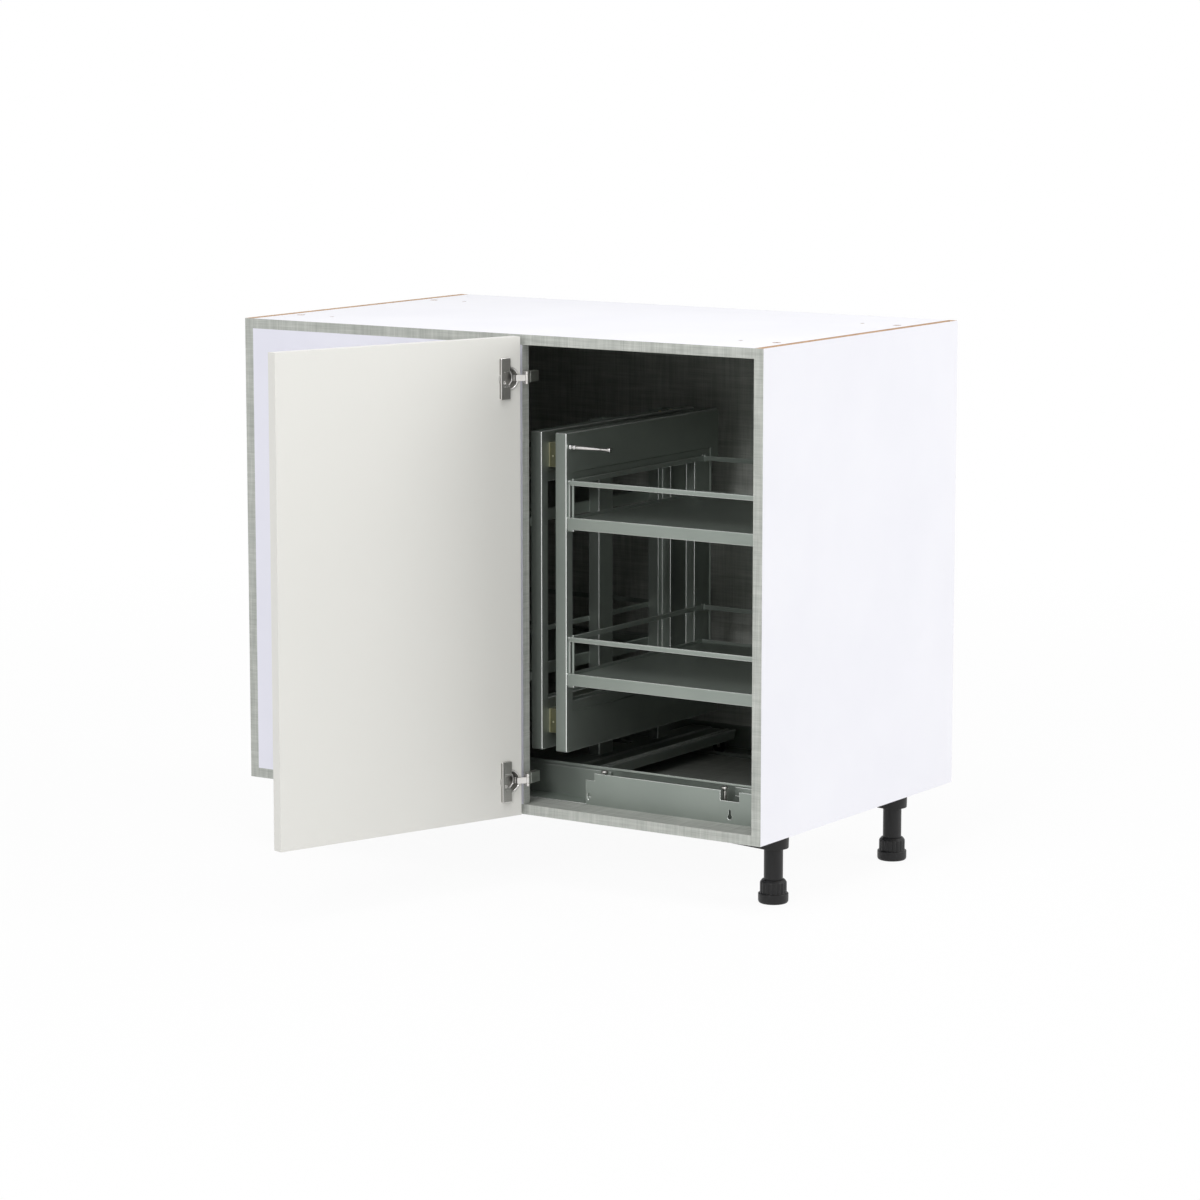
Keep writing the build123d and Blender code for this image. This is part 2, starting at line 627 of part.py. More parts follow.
def hinges():
    cup_screws, bracket_screws = [], []
    for name, middle in zip(("lower", "upper"), HINGE_HEIGHTS):
        keep(f"hinge_cup_{name}", hinge_cup(middle))
        keep(f"hinge_link_{name}", hinge_link(middle))
        keep(f"hinge_arm_{name}", hinge_arm(middle))
        keep(f"hinge_bracket_{name}", hinge_bracket(middle))
        for spot in cup_screw_heights(middle):
            seat = place(flange_inset(), -DOOR_GAP + CUP_FLANGE_THICKNESS, spot)
            cup_screws.append(opened(seat * Rot(90, 0, 0) * screw(CUP_SCREW_RADIUS, CUP_SCREW_LENGTH)))
        for spot in bracket_screw_heights(middle):
            seat = place(bracket_screw_inset(), PANEL + BRACKET_SHEET, spot)
            bracket_screws.append(seat * Rot(90, 0, 0) * screw(BRACKET_SCREW_RADIUS, BRACKET_SCREW_LENGTH))
    keep("cup_screws", *cup_screws)
    keep("bracket_screws", *bracket_screws)


def beam_insets():
    """The carriage beam's right and left faces."""
    return FRAME_INSET, FRAME_INSET + BEAM_WIDTH


def floor_rails():
    ends = (PANEL + RAIL_END_GAP, WIDTH - PANEL - RAIL_END_GAP)
    base_top = INNER_FLOOR + SHEET
    wall = RAIL_FRONT + RAIL_WALL_SETBACK
    front = block(ends, (RAIL_FRONT + SHEET, wall + RAIL_RUNWAY), (INNER_FLOOR, base_top))
    front += block(ends, (wall, wall + SHEET), (INNER_FLOOR, INNER_FLOOR + RAIL_WALL_HEIGHT))
    keep("front_floor_rail", front)

    plate = (RAIL_FRONT, RAIL_FRONT + SHEET)
    cut_plate = (RAIL_FRONT - PAST, RAIL_FRONT + SHEET + PAST)
    top = INNER_FLOOR + FASCIA_HEIGHT
    fascia = block((ends[0], FASCIA_END), plate, (INNER_FLOOR, top))
    ear = block((FASCIA_END, FASCIA_END + FASCIA_EAR), plate, (INNER_FLOOR, INNER_FLOOR + FASCIA_EAR_HEIGHT))
    corner = ear.edges().filter_by(Axis.Y).sort_by(Axis.Z)[-2:].sort_by(Axis.X)[0]
    fascia += fillet(corner, FASCIA_EAR / 2)
    notch = (FASCIA_NOTCH_INSET - FASCIA_NOTCH_WIDTH / 2, FASCIA_NOTCH_INSET + FASCIA_NOTCH_WIDTH / 2)
    fascia -= block(notch, cut_plate, (top - FASCIA_NOTCH_DEPTH, top + PAST))
    hole_at = INNER_FLOOR + KEYHOLE_HEIGHT
    slot = (FASCIA_NOTCH_INSET - KEYHOLE_SLOT, FASCIA_NOTCH_INSET + KEYHOLE_SLOT)
    fascia -= along(FASCIA_NOTCH_INSET, cut_plate[0], hole_at, KEYHOLE_RADIUS, SHEET + 2 * PAST)
    fascia -= block(slot, cut_plate, (hole_at, hole_at + KEYHOLE_LENGTH))
    ear_hole = FASCIA_END + FASCIA_EAR - 2 * EAR_HOLE_RADIUS
    fascia -= along(ear_hole, cut_plate[0], hole_at + EAR_HOLE_RADIUS, EAR_HOLE_RADIUS, SHEET + 2 * PAST)
    keep("front_rail_fascia", fascia)

    rollers = []
    head_bottom = INNER_FLOOR + GUIDE_HEIGHT - GUIDE_HEAD
    for inset in GUIDE_INSETS:
        spot = (inset, RAIL_FRONT + GUIDE_SETBACK)
        stem = upright(*spot, base_top, GUIDE_STEM_RADIUS, head_bottom - base_top)
        head = upright(*spot, head_bottom, GUIDE_RADIUS, GUIDE_HEAD)
        head = chamfer(head.edges().filter_by(GeomType.CIRCLE).sort_by(Axis.Z)[-1], GUIDE_CROWN)
        rollers.append(stem + head)
    keep("guide_rollers", *rollers)

    rear = BACK_FACE - BACK_CLEARANCE
    base = block(ends, (rear - REAR_RAIL_WIDTH, rear), (INNER_FLOOR, base_top))
    base += block(ends, (rear - SHEET, rear), (INNER_FLOOR, INNER_FLOOR + REAR_RAIL_HEIGHT))
    lip = (rear - REAR_RAIL_WIDTH, rear - REAR_RAIL_WIDTH + SHEET)
    base += block(ends, lip, (INNER_FLOOR, INNER_FLOOR + REAR_RAIL_LIP))
    keep("rear_floor_rail", base)


def wheel_rows():
    """Front depth of each row of carriage wheels, on the front rail's runway and on the rear rail."""
    front = RAIL_FRONT + RAIL_WALL_SETBACK + SHEET + (RAIL_RUNWAY - WHEEL_WIDTH) / 2
    rear = BACK_FACE - BACK_CLEARANCE - REAR_RAIL_WIDTH + SHEET + WHEEL_WIDTH
    return front, rear


def carriage():
    right, left = beam_insets()
    low = INNER_FLOOR + BEAM_HEIGHT
    high = low + BEAM_THICKNESS
    front = RAIL_FRONT + RAIL_WALL_SETBACK + 2 * SHEET
    rear = BACK_FACE - BEAM_REAR_GAP
    beam = block((right, left), (front, rear), (low, high))
    corners = beam.edges().filter_by(Axis.Z).sort_by(Axis.Y)[-2:]
    beam = chamfer(corners, BEAM_CORNER_CUT)
    hollow = (front + SHEET, rear - BEAM_CORNER_CUT - SHEET)
    beam -= block((right + SHEET, left - SHEET), hollow, (low - PAST, high - SHEET))
    axle_height = INNER_FLOOR + SHEET + WHEEL_RADIUS
    wheels, axles = [], []
    for row in wheel_rows():
        for start in (row - WHEEL_SIDE_GAP - SHEET, row + WHEEL_WIDTH + WHEEL_SIDE_GAP):
            web = block((right, left), (start, start + SHEET), (low - WEB_DROP, high - SHEET))
            beam += web
        for inset in (right + WHEEL_INSET, left - WHEEL_INSET):
            web_span = WHEEL_WIDTH + 2 * (WHEEL_SIDE_GAP + SHEET)
            start = row - WHEEL_SIDE_GAP - SHEET
            beam -= along(inset, start - PAST, axle_height, AXLE_RADIUS + AXLE_CLEARANCE, web_span + 2 * PAST)
            wheel = along(inset, row, axle_height, WHEEL_RADIUS, WHEEL_WIDTH)
            wheels.append(wheel - along(inset, row, axle_height, AXLE_RADIUS + AXLE_CLEARANCE, WHEEL_WIDTH))
            axles.append(along(inset, start, axle_height, AXLE_RADIUS, web_span))
    keep("carriage_beam", beam)
    keep("carriage_wheels", *wheels)
    keep("carriage_axles", *axles)

    posts = []
    for setback in POST_SETBACKS:
        insets = (CARRIAGE_LEFT, CARRIAGE_LEFT + POST_WIDTH)
        depths = (FRAME_FRONT + setback, FRAME_FRONT + setback + POST_DEPTH)
        inner = [(span[0] + SHEET, span[1] - SHEET) for span in (insets, depths)]
        posts.append(block(insets, depths, (high, FRAME_TOP)) - block(*inner, (high, FRAME_TOP)))
    keep("carriage_posts", *posts)


def pressed_frame(right):
    """An upright frame pressed from sheet, open to the left, with a step along each band of its window."""
    left, rear, top = right + FRAME_THICKNESS, FRAME_FRONT + FRAME_DEPTH, FRAME_TOP
    window_depths = (FRAME_FRONT + FRONT_POST, rear - REAR_POST)
    window_heights = (FRAME_BOTTOM + FRAME_BAND, top - FRAME_BAND)
    frame = block((right, left), (FRAME_FRONT, rear), (FRAME_BOTTOM, top))
    frame -= block((right - PAST, left + PAST), window_depths, window_heights)
    pocket = (right + SHEET, left + PAST)
    posts = ((FRAME_FRONT + SHEET, window_depths[0] - SHEET), (window_depths[1] + SHEET, rear - SHEET))
    for depths in posts:
        frame -= block(pocket, depths, (FRAME_BOTTOM + SHEET, top - SHEET))
    bands = ((FRAME_BOTTOM + SHEET, window_heights[0] - SHEET), (window_heights[1] + SHEET, top - SHEET))
    for heights in bands:
        frame -= block(pocket, window_depths, heights)
    floor = right + FRAME_STEP_DEPTH
    for edge, away in zip(window_heights, (-1, 1)):
        fold = edge + away * FRAME_STEP_WIDTH
        frame -= block((right - PAST, floor), window_depths, sorted((edge, fold)))
        frame += block((floor, floor + SHEET), window_depths, sorted((edge, fold)))
        frame += block((right, floor + SHEET), window_depths, sorted((fold, fold - away * SHEET)))
    return frame


def slide_channel(web, mouth, length, start):
    """A rolled channel along Y with in-turned lips, centred on height 0, open from its web to its mouth."""
    sign = 1 if mouth > web else -1
    half = SLIDE_HEIGHT / 2
    profile = [
        (web, -half), (mouth, -half), (mouth, -half + SLIDE_LIP), (mouth - sign * SHEET, -half + SLIDE_LIP),
        (mouth - sign * SHEET, -half + SHEET), (web + sign * SHEET, -half + SHEET),
    ]
    profile += [(inset, -height) for inset, height in reversed(profile)]
    return slide_bar(profile, length, start)


def slide_bar(profile, length, start):
    """A bar along Y whose section is given by points of inset and height."""
    points = [(RIGHT - inset, height) for inset, height in profile]
    face = Plane.XZ * make_face(Polyline(*points, close=True))
    return Pos(0, FRONT + start, 0) * extrude(face, -length)


def slides():
    gap_right = FRAME_INSET + FRAME_THICKNESS
    gap_left = CARRIAGE_INSET
    start = FRAME_FRONT + SLIDE_SETBACK
    inner_half = SLIDE_HEIGHT / 2 - SHEET - SLIDE_RUNNING
    neck_half = SLIDE_HEIGHT / 2 - SLIDE_LIP - SLIDE_RUNNING
    centre = (gap_right + gap_left) / 2
    edge = (gap_left - gap_right) / 2 - SLIDE_DEPTH + SHEET + SLIDE_RUNNING
    tip = edge + SLIDE_RACE_DEPTH
    root = neck_half - SLIDE_RACE
    corner = [(SLIDE_NECK / 2, root), (tip, root), (tip, inner_half), (edge, inner_half), (edge, neck_half)]
    upper = [(centre + x, z) for x, z in corner] + [(centre - x, z) for x, z in reversed(corner)]
    profile = upper + [(x, -z) for x, z in reversed(upper)]
    for name, height in zip(("lower", "upper"), SLIDE_HEIGHTS):
        at = Pos(0, 0, height)
        outer = slide_channel(gap_left, gap_left - SLIDE_DEPTH, SLIDE_LENGTH, start)
        inner = slide_channel(gap_right, gap_right + SLIDE_DEPTH, SLIDE_LENGTH, start)
        keep(f"slide_outer_{name}", at * outer)
        keep(f"slide_middle_{name}", at * slide_bar(profile, SLIDE_LENGTH, start))
        keep(f"slide_inner_{name}", at * inner)


def tray(insets, depths, bottom):
    """A sheet tray: a rim all round and a floor set below the rim's top."""
    top = bottom + TRAY_RIM
    body = block(insets, depths, (bottom, top))
    inner = [(span[0] + TRAY_SHEET, span[1] - TRAY_SHEET) for span in (insets, depths)]
    floor_top = top - TRAY_FLOOR_DROP
    body -= block(*inner, (floor_top, top + PAST))
    return body - block(*inner, (bottom - PAST, floor_top - TRAY_SHEET))


def gallery(insets, depths, tray_bottom):
    """A guard rail on upright rods that stand in the tray's corners."""
    floor_top = tray_bottom + TRAY_RIM - TRAY_FLOOR_DROP
    low = tray_bottom + TRAY_RIM + GALLERY_RISE
    rail = block(insets, depths, (low, low + GALLERY_HEIGHT))
    inner = [(span[0] + GALLERY_DEPTH, span[1] - GALLERY_DEPTH) for span in (insets, depths)]
    rail -= block(*inner, (low - PAST, low + GALLERY_HEIGHT + PAST))
    reach = TRAY_SHEET + GALLERY_ROD_RADIUS + GALLERY_ROD_CLEARANCE
    height = low + GALLERY_HEIGHT + GALLERY_NUB - floor_top
    for inset in (insets[0] + reach, insets[1] - reach):
        for depth in (depths[0] + reach, depths[1] - reach):
            rail += upright(inset, depth, floor_top, GALLERY_ROD_RADIUS, height)
    return rail


def storage():
    keep("pullout_frame", pressed_frame(FRAME_INSET))
    keep("carriage_frame", pressed_frame(CARRIAGE_INSET))
    depths = (FRAME_FRONT, FRAME_FRONT + TRAY_DEPTH)
    posts_left = CARRIAGE_LEFT + POST_WIDTH
    rows = {"front": (TRAY_RIGHT_INSET, FRAME_INSET), "rear": (posts_left, WIDTH - PANEL - REAR_TRAY_GAP)}
    for row, insets in rows.items():
        for name, bottom in zip(("lower", "upper"), TRAY_HEIGHTS):
            keep(f"{row}_tray_{name}", tray(insets, depths, bottom))
            keep(f"{row}_gallery_{name}", gallery(insets, depths, bottom))
    hooks = []
    for bottom in TRAY_HEIGHTS:
        depths = (FRAME_FRONT, FRAME_FRONT + HOOK_DEPTH)
        hooks.append(block((CARRIAGE_LEFT, posts_left), depths, (bottom, bottom + HOOK_HEIGHT)))
    keep("rear_tray_hooks", *hooks)


def pull_handle():
    """A turned knob on the pull-out frame's front post: a collar, a long taper to a waist, and a flare."""
    profile = [
        (0, 0),
        (0, HANDLE_COLLAR_RADIUS),
        (HANDLE_COLLAR, HANDLE_COLLAR_RADIUS),
        (HANDLE_COLLAR, HANDLE_RADIUS),
        (HANDLE_WAIST_AT, HANDLE_WAIST),
        (HANDLE_LENGTH - HANDLE_TIP_EDGE, HANDLE_RADIUS),
        (HANDLE_LENGTH, HANDLE_RADIUS - HANDLE_TIP_EDGE),
        (HANDLE_LENGTH, 0),
    ]
    knob = revolve(make_face(Polyline(*profile, close=True)), Axis.X)
    keep("pull_handle", place(FRAME_INSET, FRAME_FRONT + FRONT_POST / 2, FRAME_TOP - HANDLE_FROM_TOP) * knob)


carcass()
fittings()
legs()
door()
hinges()
floor_rails()
carriage()
slides()
storage()
pull_handle()

os.makedirs("parts", exist_ok=True)
for name, shape in parts.items():
    export_step(shape, f"parts/{name}.step")
    print(name, round(shape.volume))
print(len(parts), "nodes, front plane at Y", round(FRONT, 3), "door reach", round(DOOR_REACH, 3))
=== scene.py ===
import logging
from dataclasses import dataclass
from enum import Enum
from math import acos, cos, pi, radians, sin
from typing import NamedTuple

import bmesh
import bpy
import numpy as np
from bpy.types import Material, Mesh, Node, NodeSocket, Object
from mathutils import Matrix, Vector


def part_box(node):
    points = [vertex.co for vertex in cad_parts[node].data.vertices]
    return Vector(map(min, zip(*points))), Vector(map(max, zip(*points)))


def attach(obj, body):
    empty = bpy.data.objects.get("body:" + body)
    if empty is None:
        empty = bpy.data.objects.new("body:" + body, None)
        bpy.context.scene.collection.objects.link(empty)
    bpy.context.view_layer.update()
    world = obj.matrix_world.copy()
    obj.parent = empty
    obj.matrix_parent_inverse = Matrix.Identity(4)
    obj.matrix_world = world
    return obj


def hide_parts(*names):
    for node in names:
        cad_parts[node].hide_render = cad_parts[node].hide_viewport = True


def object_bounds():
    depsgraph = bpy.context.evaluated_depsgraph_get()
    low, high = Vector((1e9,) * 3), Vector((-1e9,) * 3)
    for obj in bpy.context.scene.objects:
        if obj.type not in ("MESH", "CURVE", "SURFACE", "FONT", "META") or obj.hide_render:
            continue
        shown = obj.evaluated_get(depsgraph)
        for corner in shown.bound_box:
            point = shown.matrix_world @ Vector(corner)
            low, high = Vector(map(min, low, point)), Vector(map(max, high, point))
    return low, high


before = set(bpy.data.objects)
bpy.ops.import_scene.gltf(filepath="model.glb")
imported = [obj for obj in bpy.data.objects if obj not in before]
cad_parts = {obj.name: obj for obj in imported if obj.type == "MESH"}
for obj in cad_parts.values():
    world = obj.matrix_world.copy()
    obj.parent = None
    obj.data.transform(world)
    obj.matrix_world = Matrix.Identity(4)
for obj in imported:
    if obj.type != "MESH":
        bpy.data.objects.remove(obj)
logging.basicConfig(level=logging.INFO, format="%(message)s")
log = logging.getLogger("corner_cabinet")

Pair = tuple[float, float]
Place = tuple[float, float, float]
Colour = tuple[float, float, float]
Line = np.ndarray | list[Pair] | tuple[Pair, ...]

LEVELS = ("lower", "upper")

# Metres: points nearer than this are one, and a length is never taken as less than the other.
MERGE = 1e-6
TINY = 1e-9
# The most that a corner's easing takes of the run beside it.
NEARLY_HALF = 0.49

# Degrees: edges from which a piece and a bent sheet stay crisp, and the angles of a rolled fold.
CREASE = 38.0
SHEET_CREASE = 50.0
FOLD_BEND = 6.0
FOLD_START = 12.0
FOLD_FULL = 19.0
FOLD_WIDTH = 0.0013
# Degrees: below the first a copied solid's faces are one, and above the second its edges are rounded.
FLAT = 2.0
BEVELLED = 40.0


class Axis(Enum):
    """The axes of the cabinet's frame, as Separate XYZ names them."""

    ACROSS = "X"
    BACK = "Y"
    UP = "Z"

    @property
    def column(self) -> int:
        """The axis's place among a point's three numbers."""
        return "XYZ".index(self.value)


class Lie(Enum):
    """How a woven pattern lies: on an upright face or on a level one."""

    UPRIGHT = "upright"
    LEVEL = "level"


class Span(NamedTuple):
    """The box of a CAD node at rest, in metres, with its sides named as a person facing the doors sees them."""

    left: float
    front: float
    bottom: float
    right: float
    rear: float
    top: float

    @classmethod
    def of(cls, node: str) -> "Span":
        """The box of the named node."""
        low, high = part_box(node)
        return cls(*low, *high)


CABINET = Span(*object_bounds()[0], *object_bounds()[1])
BANDS = Span.of("edge_bands")
RIGHT_FACE = BANDS.right
FRONT_FACE = BANDS.front
BOARD = RIGHT_FACE - Span.of("top_panel").right


# Material steps


class Look(NamedTuple):
    """What a finish gives the shader: colour, roughness and the height that its bump reads."""

    colour: NodeSocket
    roughness: NodeSocket
    height: NodeSocket


class Graph:
    """A material's node tree, with a method for each step that the finishes share."""

    def __init__(self, name: str) -> None:
        """Starts a material with one Principled shader.

        Args:
            name: The finish's name, which the material takes.
        """
        self.material = bpy.data.materials.new(name)
        self.material.use_nodes = True
        self.tree = self.material.node_tree
        self.shader = next(n for n in self.tree.nodes if n.type == "BSDF_PRINCIPLED")
        self.place = self.tree.nodes.new("ShaderNodeTexCoord").outputs["Object"]
        self.parts = self.step("ShaderNodeSeparateXYZ", Vector=self.place)

    def step(self, kind: str, setup: dict[str, object] | None = None, **inputs: object) -> Node:
        """Adds one node.

        Args:
            kind: The node's Blender type.
            setup: Properties of the node, by name.
            inputs: Sockets to link, and constants to set, by socket name with spaces as underscores.

        Returns:
            The new node.
        """
        node = self.tree.nodes.new(kind)
        for key, value in (setup or {}).items():
            setattr(node, key, value)
        for key, value in inputs.items():
            self.feed(node.inputs[key.replace("_", " ")], value)
        return node

    def feed(self, socket: NodeSocket, value: object) -> None:
        """Links a socket to another, or sets it to a constant, with an alpha of 1 where a colour lacks one."""
        if isinstance(value, NodeSocket):
            self.tree.links.new(value, socket)
        elif isinstance(value, tuple) and len(socket.default_value) == len(value) + 1:
            socket.default_value = (*value, 1.0)
        else:
            socket.default_value = value

    def maths(self, operation: str, *values: object) -> NodeSocket:
        """A Math node's result.

        Args:
            operation: The Math node's operation.
            values: Its inputs, in order.

        Returns:
            The result's socket.
        """
        node = self.step("ShaderNodeMath", {"operation": operation})
        for socket, value in zip(node.inputs, values):
            self.feed(socket, value)
        return node.outputs[0]

    def stretched(self, scale: Place | float) -> NodeSocket:
        """Object coordinates times a scale, for each axis or for all three."""
        scales = scale if isinstance(scale, tuple) else (scale,) * 3
        return self.step("ShaderNodeMapping", Vector=self.place, Scale=scales).outputs[0]

    def noise(self, scale: Place | float, detail: float = 2.0, rough: float = 0.5) -> NodeSocket:
        """Fractal noise whose grain is one over the scale, in metres."""
        grain = {"Vector": self.stretched(scale), "Scale": 1.0, "Detail": detail, "Roughness": rough}
        return self.step("ShaderNodeTexNoise", **grain).outputs["Fac"]

    def ramp(self, share: NodeSocket, *stops: tuple[float, Colour]) -> NodeSocket:
        """A colour that runs through the stops as the share goes from 0 to 1."""
        node = self.step("ShaderNodeValToRGB", Fac=share)
        band = node.color_ramp.elements
        while len(band) < len(stops):
            band.new(0.5)
        for element, (at, colour) in zip(band, stops):
            element.position = at
            element.color = (*colour, 1.0)
        return node.outputs["Color"]

    def range(self, share: NodeSocket, ends: Pair, reach: Pair = (0.0, 1.0)) -> NodeSocket:
        """A value that runs from one end to the other as the share goes through its reach."""
        limits = {"From_Min": reach[0], "From_Max": reach[1], "To_Min": ends[0], "To_Max": ends[1]}
        return self.step("ShaderNodeMapRange", Value=share, **limits).outputs[0]

    def blend(self, share: NodeSocket, first: NodeSocket, second: NodeSocket) -> NodeSocket:
        """The first colour where the share is 0, and the second where it is 1.

        The Mix node keeps its colours in its sockets 6 and 7, and the mixed colour in its output 2.
        """
        node = self.step("ShaderNodeMix", {"data_type": "RGBA"})
        for socket, value in ((node.inputs[0], share), (node.inputs[6], first), (node.inputs[7], second)):
            self.feed(socket, value)
        return node.outputs[2]

    def slide(self, share: NodeSocket, first: NodeSocket, second: NodeSocket) -> NodeSocket:
        """The first value where the share is 0, and the second where it is 1.

        The Mix node keeps its numbers in its sockets 2 and 3.
        """
        node = self.step("ShaderNodeMix", {"data_type": "FLOAT"})
        for socket, value in zip(node.inputs[:1] + node.inputs[2:4], (share, first, second)):
            self.feed(socket, value)
        return node.outputs[0]

    def near(self, axis: Axis, plane: float, reach: float) -> NodeSocket:
        """1 within reach of the plane across the axis, and 0 elsewhere."""
        return self.maths("COMPARE", self.parts.outputs[axis.value], plane, reach)

    def close(self, look: Look, relief: Pair, **gloss: float) -> Material:
        """Feeds the shader and ends the material.

        Args:
            look: Colour, roughness and height.
            relief: The bump's depth in metres, and its strength.
            gloss: Constants of the shader's own sockets.

        Returns:
            The finished material.
        """
        bump = self.step("ShaderNodeBump", Height=look.height, Distance=relief[0], Strength=relief[1])
        fed = {"Base_Color": look.colour, "Roughness": look.roughness, "Normal": bump.outputs[0], **gloss}
        for key, value in fed.items():
            self.feed(self.shader.inputs[key.replace("_", " ")], value)
        return self.material


# Finishes


@dataclass(frozen=True)
class Linen:
    """A printed linen weave: threads one way crossed by threads the other, with thicker slubs here and there."""

    dark: Colour = (0.315, 0.33, 0.305)
    light: Colour = (0.53, 0.548, 0.512)
    lie: Lie = Lie.UPRIGHT
    thread: float = 0.0014
    run: float = 0.07
    slub: float = 0.008
    thread_share: float = 0.3
    slub_share: float = 0.2
    gloss: Pair = (0.62, 0.48)
    relief: Pair = (0.0001, 0.5)

    def look(self, graph: Graph) -> Look:
        """The mean of two noises, each drawn out along its own threads, with a coarser pair for the slubs."""
        fine, long, wide = 1 / self.thread, 1 / self.run, 1 / self.slub
        if self.lie is Lie.UPRIGHT:
            warp, weft = (fine, fine, long), (long, long, fine)
            thick, thin = (wide, wide, long), (long, long, wide)
        else:
            warp, weft = (fine, long, long), (long, fine, long)
            thick, thin = (wide, long, long), (long, wide, long)
        threads = graph.maths("ADD", graph.noise(warp, 3.0, 0.6), graph.noise(weft, 3.0, 0.6))
        slubs = graph.maths("ADD", graph.noise(thick, 1.0), graph.noise(thin, 1.0))
        fabric = graph.maths("MULTIPLY", threads, self.thread_share)
        weave = graph.maths("MULTIPLY_ADD", slubs, self.slub_share, fabric)
        colour = graph.ramp(weave, (0.38, self.dark), (0.62, self.light))
        return Look(colour, graph.range(weave, self.gloss), weave)

    def material(self, name: str) -> Material:
        """The finish by itself, as on an edge band."""
        graph = Graph(name)
        return graph.close(self.look(graph), self.relief)


@dataclass(frozen=True)
class Melamine:
    """Smooth melamine: an even colour with a faint cloud in it and a fine orange-peel surface."""

    colour: Colour = (0.86, 0.86, 0.905)
    cloud: Colour = (0.835, 0.835, 0.885)
    cloud_scale: float = 5.0
    gloss: Pair = (0.38, 0.46)
    peel: float = 0.0011

    def look(self, graph: Graph) -> Look:
        """A slow noise mixes the two colours, and a fine one gives the peel."""
        clouds = graph.noise(self.cloud_scale, 3.0)
        peel = graph.noise(1 / self.peel, 1.0)
        colour = graph.ramp(clouds, (0.35, self.cloud), (0.65, self.colour))
        return Look(colour, graph.range(peel, self.gloss), peel)


@dataclass(frozen=True)
class Chipboard:
    """Sawn chipboard: flattened wood chips in tan and brown."""

    pale: Colour = (0.56, 0.36, 0.21)
    brown: Colour = (0.30, 0.165, 0.085)
    chip: float = 0.0016
    chip_share: float = 0.65
    gloss: Pair = (0.95, 0.8)

    def look(self, graph: Graph) -> Look:
        """Cells of a Voronoi pattern, drawn out along the board, each with its own shade, over a fine noise."""
        fine = 1 / self.chip
        drawn_out = graph.stretched((fine, fine * 0.45, fine * 1.4))
        cells = graph.step("ShaderNodeTexVoronoi", Vector=drawn_out, Scale=1.0)
        shade = graph.step("ShaderNodeSeparateColor", Color=cells.outputs["Color"]).outputs[0]
        grain = graph.maths("MULTIPLY", graph.noise((fine * 2, fine, fine * 3), 3.0), 1 - self.chip_share)
        mixed = graph.maths("MULTIPLY_ADD", shade, self.chip_share, grain)
        colour = graph.ramp(mixed, (0.2, self.brown), (0.7, self.pale))
        return Look(colour, graph.range(mixed, self.gloss), mixed)


class Skin(NamedTuple):
    """A laminate on one face of a board."""

    axis: Axis
    plane: float
    finish: Melamine | Linen


@dataclass(frozen=True)
class Board:
    """A chipboard panel with a laminate on each named face, and its raw core elsewhere and in its holes."""

    skins: tuple[Skin, ...]
    core: Chipboard = Chipboard()
    skin_thickness: float = 0.0004
    relief: Pair = (0.00015, 0.35)

    def material(self, name: str) -> Material:
        """The core's look, with each skin's look mixed over it within a skin's thickness of its plane."""
        graph = Graph(name)
        look = self.core.look(graph)
        for skin in self.skins:
            on = graph.near(skin.axis, skin.plane, self.skin_thickness)
            over = skin.finish.look(graph)
            look = Look(
                graph.blend(on, look.colour, over.colour),
                graph.slide(on, look.roughness, over.roughness),
                graph.slide(on, look.height, over.height),
            )
        return graph.close(look, self.relief)


@dataclass(frozen=True)
class Lacquer:
    """Satin lacquer on a smooth board, with a faint drift of colour and the roller's fine orange peel."""

    colour: Colour = (0.735, 0.728, 0.69)
    drift: Colour = (0.71, 0.704, 0.668)
    drift_scale: Place = (3.0, 3.0, 1.2)
    peel_scale: float = 420.0
    gloss: Pair = (0.25, 0.35)
    relief: Pair = (0.00005, 0.25)
    top_coat: float = 0.15
    top_coat_roughness: float = 0.2

    def material(self, name: str) -> Material:
        """A slow noise drawn out upwards drifts the colour, and a fine one gives the peel."""
        graph = Graph(name)
        peel = graph.noise(self.peel_scale)
        colour = graph.ramp(graph.noise(self.drift_scale), (0.3, self.drift), (0.7, self.colour))
        look = Look(colour, graph.range(peel, self.gloss), peel)
        return graph.close(look, self.relief, Coat_Weight=self.top_coat, Coat_Roughness=self.top_coat_roughness)


@dataclass(frozen=True)
class SatinPaint:
    """Grey metallic powder coat on pressed steel: fine grain, a slow cloud, and a painted highlight along the
    folds.
    """

    colour: Colour = (0.31, 0.345, 0.315)
    cloud: Colour = (0.275, 0.31, 0.283)
    # Painted highlight: the near-white colour that the folds take in place of the coat.
    fold_highlight: Colour = (0.86, 0.885, 0.865)
    metallic: float = 0.72
    gloss: Pair = (0.38, 0.52)
    fold_highlight_gloss: Pair = (0.2, 0.3)
    cloud_scale: float = 9.0
    grain_scale: float = 1600.0
    relief: Pair = (0.00003, 0.2)

    def material(self, name: str) -> Material:
        """A slow noise clouds the colour, a fine one breaks the gloss, and the fold attribute lays a painted
        highlight, a near-white colour with a glossier roughness, along the folds.
        """
        graph = Graph(name)
        clouds = graph.noise(self.cloud_scale, 3.0)
        grain = graph.noise(self.grain_scale, 1.0)
        fold = graph.step("ShaderNodeAttribute", {"attribute_name": "fold"}).outputs["Fac"]
        coated = graph.ramp(clouds, (0.3, self.cloud), (0.7, self.colour))
        painted_highlight = graph.ramp(clouds, (0.2, self.fold_highlight), (0.9, self.fold_highlight))
        rough = graph.slide(fold, graph.range(grain, self.gloss), graph.range(grain, self.fold_highlight_gloss))
        look = Look(graph.blend(fold, coated, painted_highlight), rough, grain)
        return graph.close(look, self.relief, Metallic=self.metallic)


